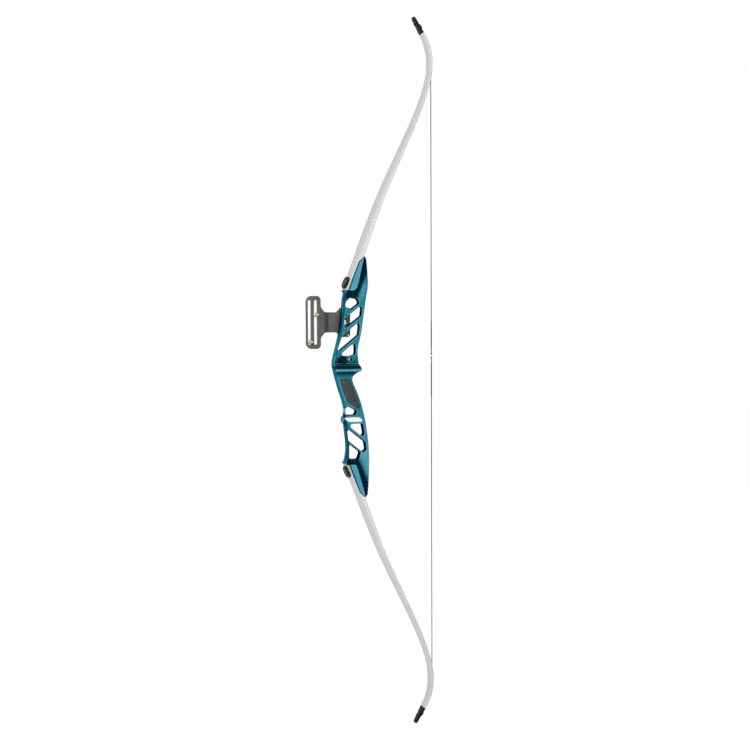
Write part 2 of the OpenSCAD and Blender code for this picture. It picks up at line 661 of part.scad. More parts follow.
// The bent plate seen from above
module plate_profile() {
    polygon([[plate_rear + 20, plate_y], [jog_rear, plate_y], [jog_front, head_y],
        [-head_reach - 20, head_y], [-head_reach - 20, head_y + plate_t],
        [jog_front, head_y + plate_t], [jog_rear, plate_y + plate_t],
        [plate_rear + 20, plate_y + plate_t]]);
}

module plate_outline() {
    top = head_mid + head_h / 2;
    low = head_mid - head_h / 2;
    n = neck_h / 2;
    polygon(rounded([[-head_reach, low, 13], [-head_reach, top, 13], [head_rear, top, 9],
        [head_rear, head_mid + n + 12, 4], [head_rear + 9, head_mid + n, 9],
        [-31, head_mid + n, 3], [-21, head_mid + plate_half, 3],
        [plate_rear, head_mid + plate_half, 6], [plate_rear, head_mid - plate_half, 6],
        [-21, head_mid - plate_half, 3], [-31, head_mid - n, 3], [head_rear + 9, head_mid - n, 9],
        [head_rear, head_mid - n - 12, 4], [head_rear, low, 9]]));
}

slot_low = head_mid - head_h / 2 + 9;
slot_top = head_mid + head_h / 2 - 9;
module head_slot(x) {
    translate([x - slot_w / 2, slot_low + slot_w / 2]) square([slot_w, slot_top - slot_low - slot_w]);
    for (z = [slot_low, slot_top - slot_w]) translate([x, z + slot_w / 2]) circle(d = slot_w);
}

screw_d = sight_hole_d - 2 * running;
module sight_bracket() {
    color(plate_grey) difference() {
        intersection() {
            linear_extrude(far) plate_profile();
            side_slab(-far, far) plate_outline();
        }
        side_slab(-far, far) {
            head_slot(slot_front_x);
            head_slot(slot_rear_x);
        }
        for (s = [-1, 1]) translate([sight_x, 0, sight_mid + s * sight_pitch / 2])
            rotate([90, 0, 0]) cylinder(h = far, d = sight_hole_d + 0.6, center = true);
        translate([sight_x, 0, sight_mid]) rotate([90, 0, 0]) cylinder(h = far, d = 13.5, center = true);
        for (s = [-1, 1]) translate([plate_rear - 4, 0, head_mid + s * (plate_half - 4)])
            rotate([90, 0, 0]) cylinder(h = far, d = 3, center = true);
    }
}

module sight_screw(s) {
    color(steel) translate([sight_x, plate_y + plate_t, sight_mid + s * sight_pitch / 2])
        rotate([90, 0, 0]) difference() {
            union() {
                cylinder(h = plate_t + 10, d = screw_d);
                translate([0, 0, -3]) cylinder(h = 3, d = 8);
            }
            translate([0, 0, -4]) cylinder(h = 2.6, r = 1.8, $fn = 6);
        }
}

front_pin_z = slot_low + slot_w / 2 + 3.2;
rear_pin_z = head_mid + 16.2;
nut_bore = pin_d + 2 * running;
// How far a nut stands off the plate that it clamps
nut_gap = 0.1;

module sight_pin(x, z) {
    tip_y = head_y - pin_len + plate_t + nut_t + 3;
    color(brass) translate([x, tip_y, z]) rotate([-90, 0, 0]) {
        cylinder(h = pin_len - 4, d = pin_d);
        translate([0, 0, -2]) cylinder(h = 2, d = 3);
        translate([0, 0, -3]) sphere(d = 4);
    }
}

module knurled_nut(x, y, z) {
    color(brass) translate([x, y, z]) rotate([-90, 0, 0]) difference() {
        union() {
            cylinder(h = nut_t, r = nut_d / 2 - 0.6);
            translate([0, 0, 0.7]) cylinder(h = nut_t - 1.4, d = nut_d);
        }
        translate([0, 0, -1]) cylinder(h = nut_t + 2, d = nut_bore);
    }
}

module pin_nut(x, z) { knurled_nut(x, head_y - nut_t - nut_gap, z); }
module pin_back_nut(x, z) { knurled_nut(x, head_y + plate_t + nut_gap, z); }

// ARROW REST
rest_x = -27;
rest_z = 31;
rest_y = window_past;
hinge_x = rest_x - 1.6;
hinge_y = rest_y - 1.7;
arm_z = rest_z + 6.5;

module rest_base() {
    color(black) difference() {
        union() {
            side_slab(rest_y - rest_t, rest_y) polygon(rounded([[rest_x, rest_z, 1],
                [rest_x, rest_z + rest_h, 1], [rest_x + rest_w, rest_z + rest_h, 1],
                [rest_x + rest_w, rest_z, 1]]));
            for (s = [-1, 1]) {
                translate([hinge_x, hinge_y, arm_z + s * 3.6]) cylinder(h = 2, d = 3, center = true);
                translate([hinge_x, rest_y - rest_t, arm_z + s * 3.6 - 1]) cube([3, rest_t, 2]);
            }
        }
        translate([hinge_x, hinge_y, arm_z - 10]) cylinder(h = 20, d = 1.2);
    }
}

// A thin arm on a hub that turns between the base's two ears, drawn back by a spring
module rest_arm() {
    color(black) {
        translate([hinge_x, hinge_y, arm_z]) {
            cylinder(h = 5, d = 3, center = true);
            cylinder(h = 9.2, d = 1.2 - 2 * running, center = true);
            rotate([0, 0, 232]) rotate([0, 90, 0]) cylinder(h = arm_len, d = arm_d);
            rotate([0, 0, 232]) translate([arm_len, 0, 0]) sphere(d = arm_d);
        }
    }
}

riser();
grip_panel(-1);  // left_grip_panel
grip_panel(1);  // right_grip_panel
badge_plate();
stabiliser_bushing();
bolt_insert("upper");  // upper_bolt_insert
bolt_insert("lower");  // lower_bolt_insert
locating_pin("upper");  // upper_locating_pin
locating_pin("lower");  // lower_locating_pin
washer("upper");  // upper_washer
washer("lower");  // lower_washer
knob("upper");  // upper_knob
knob("lower");  // lower_knob
bolt("upper");  // upper_bolt
bolt("lower");  // lower_bolt
limb_butt("upper");  // upper_limb_butt
limb_butt("lower");  // lower_limb_butt
limb_blade("upper");  // upper_limb_blade
limb_blade("lower");  // lower_limb_blade
tip("upper");  // upper_tip
tip("lower");  // lower_tip
loop("upper");  // upper_loop
loop("lower");  // lower_loop
string_half("upper");  // upper_string
string_half("lower");  // lower_string
end_serving("upper");  // upper_end_serving
end_serving("lower");  // lower_end_serving
serving("upper");  // upper_serving
serving("lower");  // lower_serving
centre_strands();
centre_serving();
nocking_point();
sight_bracket();
sight_screw(1);  // upper_sight_screw
sight_screw(-1);  // lower_sight_screw
sight_pin(slot_front_x, front_pin_z);  // front_pin
pin_nut(slot_front_x, front_pin_z);  // front_pin_nut
pin_back_nut(slot_front_x, front_pin_z);  // front_pin_back_nut
sight_pin(slot_rear_x, rear_pin_z);  // rear_pin
pin_nut(slot_rear_x, rear_pin_z);  // rear_pin_nut
pin_back_nut(slot_rear_x, rear_pin_z);  // rear_pin_back_nut
rest_base();
rest_arm();
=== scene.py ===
# %% [markdown]
# # A recurve bow
# The bow stands with its plane of symmetry in X and Z: Z runs up the bow, X points back
# towards the archer, and the side that the arrow passes faces -Y. The exact CAD model is
# loaded first as a fixed frame. Pieces whose real shape flows, such as the limbs, the string
# and the milled riser, are then modelled again around it.

# %% Load the frame
import math

import bmesh
import bpy
import numpy as np
from mathutils import Matrix, Vector


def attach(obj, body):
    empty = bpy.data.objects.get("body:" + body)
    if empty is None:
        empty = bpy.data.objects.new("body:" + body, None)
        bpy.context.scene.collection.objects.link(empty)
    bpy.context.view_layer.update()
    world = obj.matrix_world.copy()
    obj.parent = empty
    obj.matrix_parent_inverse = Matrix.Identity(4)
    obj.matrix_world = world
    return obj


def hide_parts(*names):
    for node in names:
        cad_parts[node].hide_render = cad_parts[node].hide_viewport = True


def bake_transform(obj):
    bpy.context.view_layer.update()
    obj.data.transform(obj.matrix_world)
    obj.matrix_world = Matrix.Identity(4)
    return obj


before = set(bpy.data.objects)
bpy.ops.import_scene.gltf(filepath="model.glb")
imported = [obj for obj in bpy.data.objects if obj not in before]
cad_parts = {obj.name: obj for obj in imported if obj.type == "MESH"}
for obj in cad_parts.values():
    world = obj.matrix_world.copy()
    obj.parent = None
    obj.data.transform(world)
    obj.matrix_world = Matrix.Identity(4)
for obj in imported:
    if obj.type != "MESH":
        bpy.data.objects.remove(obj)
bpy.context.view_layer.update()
MM = 0.001


# %% [markdown]
# The camera stands where the photographer stood: a little to the front of the bow's left
# side and slightly above its middle. Its place and lens came from fitting the bow's known
# points to the photograph, so it is written as a frame of three directions.

# %% Camera
AZIMUTH = math.radians(-21.0)
ELEVATION = math.radians(3.0)
ROLL = math.radians(-0.28)
LENS = 51.7
CAMERA_AT = Vector((-0.8028, -2.2264, 0.1292))

back = Vector((math.sin(AZIMUTH) * math.cos(ELEVATION),
               -math.cos(AZIMUTH) * math.cos(ELEVATION),
               math.sin(ELEVATION)))
level = Vector((math.cos(AZIMUTH), math.sin(AZIMUTH), 0))
upright = back.cross(level)
right = math.cos(ROLL) * level + math.sin(ROLL) * upright
up = math.cos(ROLL) * upright - math.sin(ROLL) * level

bpy.ops.object.select_all(action="DESELECT")
bpy.ops.object.camera_add()
camera = bpy.context.object
camera.name = "camera"
camera.data.lens = LENS
camera.data.sensor_width = 36
camera.data.clip_start = 0.05
camera.matrix_world = Matrix((
    (right.x, up.x, back.x, CAMERA_AT.x),
    (right.y, up.y, back.y, CAMERA_AT.y),
    (right.z, up.z, back.z, CAMERA_AT.z),
    (0, 0, 0, 1)))
bpy.context.scene.camera = camera
print("camera at", [round(v, 3) for v in CAMERA_AT], "lens", LENS, "mm")

# %% [markdown]
# Light is soft and even. The world is a plain pale grey that the camera, and shiny metal,
# see as white. It could light the bow alone, but its faces would then look flat. So a large
# lamp to the left of the camera and above it lights the near side, and a weaker one behind the
# bow, on the archer's side, lifts the rear faces.

# %% World and lamps


def seen_by(tree, path):
    """1 for camera, glossy and transmission rays, which all see the white backdrop."""
    total = path.outputs["Is Camera Ray"]
    for kind in ("Is Glossy Ray", "Is Transmission Ray"):
        either = tree.nodes.new("ShaderNodeMath")
        either.operation = "MAXIMUM"
        tree.links.new(total, either.inputs[0])
        tree.links.new(path.outputs[kind], either.inputs[1])
        total = either.outputs[0]
    return total


WORLD_LEVEL = 0.2
world = bpy.data.worlds.new("studio")
bpy.context.scene.world = world
world.use_nodes = True
nodes = world.node_tree.nodes
nodes.clear()
out = nodes.new("ShaderNodeOutputWorld")
ambient = nodes.new("ShaderNodeBackground")
ambient.inputs["Color"].default_value = (1, 1, 1, 1)
ambient.inputs["Strength"].default_value = WORLD_LEVEL
seen = nodes.new("ShaderNodeBackground")
seen.inputs["Color"].default_value = (1, 1, 1, 1)
seen.inputs["Strength"].default_value = 1.0
path = nodes.new("ShaderNodeLightPath")
mix = nodes.new("ShaderNodeMixShader")
world.node_tree.links.new(seen_by(world.node_tree, path), mix.inputs["Fac"])
world.node_tree.links.new(ambient.outputs["Background"], mix.inputs[1])
world.node_tree.links.new(seen.outputs["Background"], mix.inputs[2])
world.node_tree.links.new(mix.outputs["Shader"], out.inputs["Surface"])


def lamp(name, place, aim, size, power):
    """A square soft lamp at place, turned towards aim."""
    bpy.ops.object.select_all(action="DESELECT")
    bpy.ops.object.light_add(type="AREA", location=place)
    made = bpy.context.object
    made.name = name
    made.data.size = size
    made.data.energy = power
    made.rotation_euler = (Vector(aim) - Vector(place)).to_track_quat("-Z", "Y").to_euler()


lamp("key_lamp", (-1.5, -2.55, 1.0), (0.05, 0, 0), 1.0, 88)
lamp("rear_lamp", (1.6, 2.5, 1.3), (0.05, 0, 0), 1.2, 40)
bpy.context.scene.view_settings.view_transform = "Standard"
print("two lamps and a world of", WORLD_LEVEL)

# %% [markdown]
# The floor is a plain pale sheet just under the lower limb's tip. Camera rays see it as
# white, but it still takes light, so the bow's soft shadow stays.

# %% Floor
FLOOR_Z = -0.797
bpy.ops.object.select_all(action="DESELECT")
bpy.ops.mesh.primitive_plane_add(size=14, location=(0, 0, FLOOR_Z))
floor = bpy.context.object
floor.name = "floor"
pale = bpy.data.materials.new("pale_floor")
pale.use_nodes = True
tree = pale.node_tree
shade = tree.nodes["Principled BSDF"]
shade.inputs["Base Color"].default_value = (0.86, 0.86, 0.86, 1)
shade.inputs["Roughness"].default_value = 0.9
glow = tree.nodes.new("ShaderNodeEmission")
glow.inputs["Strength"].default_value = 1.12
rays = tree.nodes.new("ShaderNodeLightPath")
blend = tree.nodes.new("ShaderNodeMixShader")
share = tree.nodes.new("ShaderNodeMath")
share.operation = "MULTIPLY"
share.inputs[1].default_value = 0.86
tree.links.new(seen_by(tree, rays), share.inputs[0])
tree.links.new(share.outputs[0], blend.inputs["Fac"])
tree.links.new(shade.outputs["BSDF"], blend.inputs[1])
tree.links.new(glow.outputs["Emission"], blend.inputs[2])
tree.links.new(blend.outputs["Shader"], tree.nodes["Material Output"].inputs["Surface"])
floor.data.materials.append(pale)
print("floor at", FLOOR_Z, "m")

# %% [markdown]
# ## Lines and rings
# Many of the bow's pieces are long and change slowly along their length. Each is drawn as
# one face that is extruded again and again, and every new end is set to the outline that
# the real piece has there. These helpers draw smooth lines through measured points and
# do that extruding.

# %% Helpers for lines and rings


def curve_point(a, b, c, d, t):
    """The point at the share t of the way from b to c on a smooth curve through all four."""
    return 0.5 * (2 * b + (c - a) * t + (2 * a - 5 * b + 4 * c - d) * t * t
                  + (3 * b - a - 3 * c + d) * t ** 3)


def smooth_line(points, n):
    """Points on a smooth curve that passes through all the given ones, n per span."""
    p = np.array(points, float)
    ends = np.vstack([p[0], p, p[-1]])
    made = []
    for i in range(len(p) - 1):
        made += [curve_point(*ends[i:i + 4], t) for t in np.arange(n) / n]
    made.append(p[-1])
    return np.array(made)


def deselect():
    if bpy.context.mode != "OBJECT":
        bpy.ops.object.mode_set(mode="OBJECT")
    bpy.ops.object.select_all(action="DESELECT")


def edit_all(obj, *steps):
    """Runs edit-mode operators on the whole of obj."""
    deselect()
    bpy.context.view_layer.objects.active = obj
    obj.select_set(True)
    bpy.ops.object.mode_set(mode="EDIT")
    bpy.ops.mesh.select_all(action="SELECT")
    for step in steps:
        step()
    bpy.ops.object.mode_set(mode="OBJECT")


def outward(obj):
    edit_all(obj, lambda: bpy.ops.mesh.remove_doubles(threshold=1e-6),
             lambda: bpy.ops.mesh.normals_make_consistent(inside=False))


def drawn_out(name, rings):
    """A solid made by extruding one face through rings of points, all with as many points."""
    count = len(rings[0])
    deselect()
    bpy.ops.mesh.primitive_circle_add(vertices=count, fill_type="NGON")
    obj = bpy.context.object
    obj.name = name
    bpy.ops.object.mode_set(mode="EDIT")
    bpy.ops.mesh.select_all(action="SELECT")
    shape = bmesh.from_edit_mesh(obj.data)
    shape.verts.ensure_lookup_table()
    for vert, point in zip(shape.verts, rings[0]):
        vert.co = Vector(point)
    places = [tuple(v.co) for v in shape.verts]
    for ring in rings[1:]:
        bpy.ops.mesh.extrude_region_move()
        shape = bmesh.from_edit_mesh(obj.data)
        order = {p: i for i, p in enumerate(places)}
        chosen = [v for v in shape.verts if v.select]
        for vert in chosen:
            vert.index = order[tuple(vert.co)]
        for vert in chosen:
            vert.co = Vector(ring[vert.index])
        places = [None] * count
        for vert in chosen:
            places[vert.index] = tuple(vert.co)
        shape.verts.index_update()
    bmesh.update_edit_mesh(obj.data)
    bpy.ops.object.mode_set(mode="OBJECT")
    outward(obj)
    return obj


def apply_modifier(obj, kind, **settings):
    """Adds a modifier with these settings and applies it at once."""
    deselect()
    bpy.context.view_layer.objects.active = obj
    obj.select_set(True)
    modifier = obj.modifiers.new(kind.lower(), kind)
    for key, value in settings.items():
        setattr(modifier, key, value)
    bpy.ops.object.modifier_apply(modifier=modifier.name)


def smooth_shaded(obj, degrees=30):
    deselect()
    bpy.context.view_layer.objects.active = obj
    obj.select_set(True)
    bpy.ops.object.shade_smooth_by_angle(angle=math.radians(degrees))


print("helpers ready")

# %% [markdown]
# ## Finishes
# Each finish is one material on the Principled shader. A small amount of slow mottling keeps the
# large plain surfaces from looking like paint on a screen, so that is one shared node group:
# it gives a lighter and darker version of a colour and a matching roughness.

# %% Shared node group
NUMBER, COLOUR = "NodeSocketFloat", "NodeSocketColor"


def new_group(name, inputs, outputs):
    """A node group with these sockets, and its input and output nodes."""
    group = bpy.data.node_groups.new(name, "ShaderNodeTree")
    for way, sockets in (("INPUT", inputs), ("OUTPUT", outputs)):
        for socket, kind in sockets:
            group.interface.new_socket(socket, in_out=way, socket_type=kind)
    return group, group.nodes.new("NodeGroupInput"), group.nodes.new("NodeGroupOutput")


def maths(tree, operation, *values, clamp=False):
    """A maths node. A value fills the input at its place, and None leaves it to a link."""
    node = tree.nodes.new("ShaderNodeMath")
    node.operation = operation
    node.use_clamp = clamp
    for socket, value in zip(node.inputs, values):
        if value is not None:
            socket.default_value = value
    return node


def soft_mottle():
    """A node group: Colour, Amount and Scale in, Colour and a Mask out."""
    group, given, result = new_group(
        "soft_mottle", [("Colour", COLOUR), ("Amount", NUMBER), ("Scale", NUMBER)],
        [("Colour", COLOUR), ("Mask", NUMBER)])
    where = group.nodes.new("ShaderNodeTexCoord")
    noise = group.nodes.new("ShaderNodeTexNoise")
    noise.inputs["Detail"].default_value = 4
    tint = group.nodes.new("ShaderNodeHueSaturation")
    level = group.nodes.new("ShaderNodeMapRange")
    level.inputs["From Min"].default_value = 0.3
    level.inputs["From Max"].default_value = 0.7
    swing = maths(group, "MULTIPLY_ADD", None, None, 1.0)
    centred = maths(group, "SUBTRACT", None, 0.5)
    link = group.links.new
    link(where.outputs["Object"], noise.inputs["Vector"])
    link(given.outputs["Scale"], noise.inputs["Scale"])
    link(noise.outputs["Fac"], level.inputs["Value"])
    link(level.outputs["Result"], centred.inputs[0])
    link(centred.outputs[0], swing.inputs[0])
    link(given.outputs["Amount"], swing.inputs[1])
    link(swing.outputs[0], tint.inputs["Value"])
    link(given.outputs["Colour"], tint.inputs["Color"])
    link(tint.outputs["Color"], result.inputs["Colour"])
    link(level.outputs["Result"], result.inputs["Mask"])
    return group


MOTTLE = soft_mottle()
print("mottle group:", len(MOTTLE.nodes), "nodes")

# %% [markdown]
# ## Painted shade in hollows and painted highlights on edges
# Anodised metal looks deeper in its recesses, where little light comes in, and shows a thin
# bright line along every machined edge. Both are painted into the colour here: painted shade in
# the recesses and a painted highlight along the edges. Both could be painted by hand. Here two
# shader nodes find them on any shape: ambient occlusion tells how closed in a spot is, and the
# bevel node tells an edge from a flat face. Put in a group, they serve every
# finish that needs them.

# %% Relief masks


def relief_masks():
    """A node group: Reach and Edge in, a Hollow and an Edge mask out.

    Hollow is 1 deep in a recess, where little light comes in, and drives painted shade.
    Edge is 1 on a sharp outer edge, where a highlight is painted."""
    group, given, result = new_group("relief_masks", [("Reach", NUMBER), ("Edge", NUMBER)],
                                     [("Hollow", NUMBER), ("Edge", NUMBER)])
    shade = group.nodes.new("ShaderNodeAmbientOcclusion")
    shade.samples = 8
    closed = maths(group, "SUBTRACT", 1.0)
    soft = group.nodes.new("ShaderNodeBevel")
    soft.samples = 6
    plain = group.nodes.new("ShaderNodeNewGeometry")
    likeness = group.nodes.new("ShaderNodeVectorMath")
    likeness.operation = "DOT_PRODUCT"
    spread = group.nodes.new("ShaderNodeMapRange")
    spread.inputs["From Min"].default_value = 0.995
    spread.inputs["From Max"].default_value = 0.88
    open_side = maths(group, "MULTIPLY")
    link = group.links.new
    link(given.outputs["Reach"], shade.inputs["Distance"])
    link(given.outputs["Edge"], soft.inputs["Radius"])
    link(shade.outputs["AO"], closed.inputs[1])
    link(closed.outputs[0], result.inputs["Hollow"])
    link(soft.outputs["Normal"], likeness.inputs[0])
    link(plain.outputs["Normal"], likeness.inputs[1])
    link(likeness.outputs["Value"], spread.inputs["Value"])
    link(spread.outputs["Result"], open_side.inputs[0])
    link(shade.outputs["AO"], open_side.inputs[1])
    link(open_side.outputs[0], result.inputs["Edge"])
    return group


SHADE_HIGHLIGHT_MASKS = relief_masks()
print("relief group:", len(SHADE_HIGHLIGHT_MASKS.nodes), "nodes")

# %% [markdown]
# ## Even ridges
# The rubber of the grip is moulded with small diamonds, and the string is wound with thread.
# Modelled one by one, these ridges would need a great many faces for a relief of some tenths
# of a millimetre. A sine wave across the object's own coordinates gives the same look as a
# bump, and two waves that cross give the diamonds.

# %% Ridge waves


def ridge_waves():
    """A node group: Angle and Pitch in, Height out: even ridges, turned about Y by Angle."""
    group, given, result = new_group("ridge_waves", [("Angle", NUMBER), ("Pitch", NUMBER)],
                                     [("Height", NUMBER)])
    place = group.nodes.new("ShaderNodeTexCoord")
    turned_place = group.nodes.new("ShaderNodeVectorRotate")
    turned_place.rotation_type = "Y_AXIS"
    parts = group.nodes.new("ShaderNodeSeparateXYZ")
    steps = []
    for operation, second in (("DIVIDE", None), ("MULTIPLY", 2 * math.pi), ("SINE", None),
                              ("MULTIPLY", 0.5), ("ADD", 0.5)):
        step = maths(group, operation, None, second)
        if steps:
            group.links.new(steps[-1].outputs[0], step.inputs[0])
        steps.append(step)
    link = group.links.new
    link(place.outputs["Object"], turned_place.inputs["Vector"])
    link(given.outputs["Angle"], turned_place.inputs["Angle"])
    link(turned_place.outputs["Vector"], parts.inputs["Vector"])
    link(parts.outputs["X"], steps[0].inputs[0])
    link(given.outputs["Pitch"], steps[0].inputs[1])
    link(steps[-1].outputs[0], result.inputs["Height"])
    return group


RIDGES = ridge_waves()
print("ridge group:", len(RIDGES.nodes), "nodes")

# %% [markdown]
# ## Making a finish
# Each material starts from one function, so that all of them have the same build: a colour
# with a soft mottle, then roughness and metal. What only some finishes have is added on top:
# ridges, painted light and shade that is paler or deeper in places, and the painted shade in
# hollows and painted highlight on edges from the two masks.

# %% Finish helpers


def finish_of(name, colour, rough, metal=0.0, mottle=0.06, scale=60.0, specular=0.5, tint=None):
    """A material on the Principled shader whose colour passes through the mottle group."""
    made = bpy.data.materials.new(name)
    made.use_nodes = True
    tree = made.node_tree
    skin = tree.nodes["Principled BSDF"]
    skin.inputs["Roughness"].default_value = rough
    skin.inputs["Metallic"].default_value = metal
    skin.inputs["Specular IOR Level"].default_value = specular
    if tint:
        skin.inputs["Specular Tint"].default_value = (*tint, 1)
    group = tree.nodes.new("ShaderNodeGroup")
    group.node_tree = MOTTLE
    group.inputs["Colour"].default_value = (*colour, 1)
    group.inputs["Amount"].default_value = mottle
    group.inputs["Scale"].default_value = scale
    tree.links.new(group.outputs["Colour"], skin.inputs["Base Color"])
    return made


def layered(tree, below, mask, colour):
    """Lays a colour over the socket below by the mask, and gives the mixed socket."""
    layer = tree.nodes.new("ShaderNodeMix")
    layer.data_type = "RGBA"
    layer.inputs["B"].default_value = (*colour, 1)
    tree.links.new(mask, layer.inputs["Factor"])
    tree.links.new(below, layer.inputs["A"])
    return layer.outputs["Result"]


def with_ridges(finish, degrees, pitch, depth, light):
    """Crossed ridges: they raise the surface by depth and lighten their crests to light."""
    tree = finish.node_tree
    skin = tree.nodes["Principled BSDF"]
    height = None
    for angle in degrees:
        waves = tree.nodes.new("ShaderNodeGroup")
        waves.node_tree = RIDGES
        waves.inputs["Angle"].default_value = math.radians(angle)
        waves.inputs["Pitch"].default_value = pitch
        if height is None:
            height = waves.outputs["Height"]
            continue
        both = maths(tree, "MULTIPLY")
        tree.links.new(height, both.inputs[0])
        tree.links.new(waves.outputs["Height"], both.inputs[1])
        height = both.outputs[0]
    base = skin.inputs["Base Color"].links[0].from_socket
    tree.links.new(layered(tree, base, height, light), skin.inputs["Base Color"])
    relief = tree.nodes.new("ShaderNodeBump")
    relief.inputs["Distance"].default_value = depth
    tree.links.new(height, relief.inputs["Height"])
    tree.links.new(relief.outputs["Normal"], skin.inputs["Normal"])
    return finish


def with_painted_light_shade(finish, deep, pale):
    """Paints shade (towards deep) and light (towards pale) into a finish's colour by its attribute,
    where a piece has one.
    """
    tree = finish.node_tree
    skin = tree.nodes["Principled BSDF"]
    base = skin.inputs["Base Color"].links[0].from_socket
    dye = tree.nodes.new("ShaderNodeAttribute")
    dye.attribute_name = "dye"
    # painted shade towards deep and painted light towards pale, by the attribute
    for colour, share in ((deep, -0.95), (pale, 0.5)):
        part = maths(tree, "MULTIPLY", None, share, clamp=True)
        tree.links.new(dye.outputs["Fac"], part.inputs[0])
        base = layered(tree, base, part.outputs[0], colour)
    tree.links.new(base, skin.inputs["Base Color"])
    return finish


def with_painted_shade_highlight(finish, hollow, edge, reach=0.035, width=0.0026, pull=5.0):
    """Paints shade into a finish towards hollow in its recesses, and a highlight along its edges
    towards edge.

    Where the attribute's painted shade is deep, an edge keeps that painted shade."""
    tree = finish.node_tree
    skin = tree.nodes["Principled BSDF"]
    base = skin.inputs["Base Color"].links[0].from_socket
    masks = tree.nodes.new("ShaderNodeGroup")
    masks.node_tree = SHADE_HIGHLIGHT_MASKS
    masks.inputs["Reach"].default_value = reach
    masks.inputs["Edge"].default_value = width
    # painted shade in the recesses, from the hollow mask
    painted_shade_mask = maths(tree, "MULTIPLY_ADD", None, pull, -0.2, clamp=True)
    tree.links.new(masks.outputs["Hollow"], painted_shade_mask.inputs[0])
    dye = tree.nodes.new("ShaderNodeAttribute")
    dye.attribute_name = "dye"
    # painted highlight on the edges, faded out where the painted shade is deep
    outside_painted_shade = maths(tree, "ADD", None, 1.0, clamp=True)
    painted_highlight_mask = maths(tree, "MULTIPLY")
    tree.links.new(dye.outputs["Fac"], outside_painted_shade.inputs[0])
    tree.links.new(outside_painted_shade.outputs[0], painted_highlight_mask.inputs[0])
    tree.links.new(masks.outputs["Edge"], painted_highlight_mask.inputs[1])
    for mask, colour in ((painted_shade_mask.outputs[0], hollow), (painted_highlight_mask.outputs[0], edge)):
        base = layered(tree, base, mask, colour)
    tree.links.new(base, skin.inputs["Base Color"])
    return finish


# %% [markdown]
# ## The bow's finishes
# The riser is satin aluminium with a teal dye. The limbs are lacquered in a pale grey, with
# darker glue lines. Tips, knobs and arrow rest are black plastic, the string is black fibre,
# and the fittings are steel and brass. The colours were judged under even light and entered
# as linear values, which is the simplest way when nothing is printed on a piece.

# %% Materials
# The riser's teal gets painted shade and painted light from its attribute, painted shade in its
# hollows and a painted highlight along its edges.
teal_metal = with_painted_shade_highlight(
    with_painted_light_shade(finish_of("teal_anodised", (0.022, 0.195, 0.275), 0.27, metal=0.25, mottle=0.3,
                       scale=220, specular=0.0, tint=(0.03, 0.2, 0.3)),
             deep=(0.0, 0.013, 0.034), pale=(0.11, 0.37, 0.46)),
    hollow=(0.0, 0.006, 0.020), edge=(0.22, 0.62, 0.74))
limb_grey = finish_of("limb_lacquer", (0.66, 0.66, 0.665), 0.32, mottle=0.03, scale=25)
limb_seam = finish_of("limb_seam", (0.16, 0.16, 0.165), 0.4, mottle=0.2, scale=150)
tip_black = finish_of("tip_black", (0.003, 0.003, 0.0035), 0.3, mottle=0.3, scale=200,
                      specular=0.12)
knob_black = finish_of("knob_black", (0.004, 0.004, 0.0045), 0.3, mottle=0.3, scale=150,
                       specular=0.12)
rest_black = finish_of("rest_black", (0.004, 0.004, 0.0045), 0.5, mottle=0.3, scale=200,
                       specular=0.1)
string_black = finish_of("string_strands", (0.004, 0.004, 0.0045), 0.7, mottle=0.6,
                         scale=300, specular=0.06)
serving_black = with_ridges(
    finish_of("string_serving", (0.003, 0.003, 0.0035), 0.6, mottle=0.5, scale=400, specular=0.06),
    degrees=[90], pitch=0.0009, depth=0.0002, light=(0.012, 0.012, 0.013))
steel = finish_of("bright_steel", (0.52, 0.52, 0.53), 0.28, metal=1.0, mottle=0.1, scale=300)
dark_steel = finish_of("blackened_steel", (0.09, 0.088, 0.085), 0.36, metal=0.9, mottle=0.2,
                       scale=300)
brass = finish_of("brass", (0.62, 0.47, 0.26), 0.27, metal=0.95, mottle=0.15, scale=400)
bracket_grey = finish_of("bracket_coating", (0.085, 0.084, 0.082), 0.42, metal=0.25,
                         mottle=0.25, scale=120)
grip_rubber = with_ridges(
    finish_of("grip_rubber", (0.006, 0.0065, 0.007), 0.6, mottle=0.3, scale=150, specular=0.25),
    degrees=[38, -52], pitch=0.0029, depth=0.0004, light=(0.14, 0.155, 0.155))
badge_white = finish_of("badge_white", (0.83, 0.83, 0.82), 0.4, mottle=0.02, scale=100)
print(len(bpy.data.materials), "materials")

# %% [markdown]
# ## Finishes on the measured parts
# Every part of the frame gets its finish by name, also those that a better shaped piece
# replaces later, so that nothing is ever seen bare. A table keeps this readable, where a long
# row of assignments would hide a part that was forgotten.

# %% Dressing the parts
FINISHES = {
    "riser": teal_metal, "left_grip_panel": grip_rubber, "right_grip_panel": grip_rubber,
    "badge_plate": badge_white, "stabiliser_bushing": teal_metal, "upper_bolt_insert": brass,
    "lower_bolt_insert": brass, "upper_locating_pin": steel, "lower_locating_pin": steel,
    "upper_washer": steel, "lower_washer": steel, "upper_knob": knob_black,
    "lower_knob": knob_black, "upper_bolt": dark_steel, "lower_bolt": dark_steel,
    "upper_limb_butt": limb_grey, "lower_limb_butt": limb_grey, "upper_limb_blade": limb_grey,
    "lower_limb_blade": limb_grey, "upper_tip": tip_black, "lower_tip": tip_black,
    "upper_loop": serving_black, "lower_loop": serving_black, "upper_string": string_black,
    "lower_string": string_black, "upper_end_serving": serving_black,
    "lower_end_serving": serving_black, "upper_serving": serving_black,
    "lower_serving": serving_black, "centre_strands": string_black,
    "centre_serving": serving_black, "nocking_point": brass, "sight_bracket": bracket_grey,
    "upper_sight_screw": steel, "lower_sight_screw": steel, "front_pin": brass,
    "front_pin_nut": brass, "front_pin_back_nut": brass, "rear_pin": brass,
    "rear_pin_nut": brass, "rear_pin_back_nut": brass, "rest_base": rest_black,
    "rest_arm": rest_black}


def wear(obj, finish):
    obj.data.materials.clear()
    obj.data.materials.append(finish)


for node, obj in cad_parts.items():
    wear(obj, FINISHES[node])
print(len(FINISHES), "nodes have their finish")
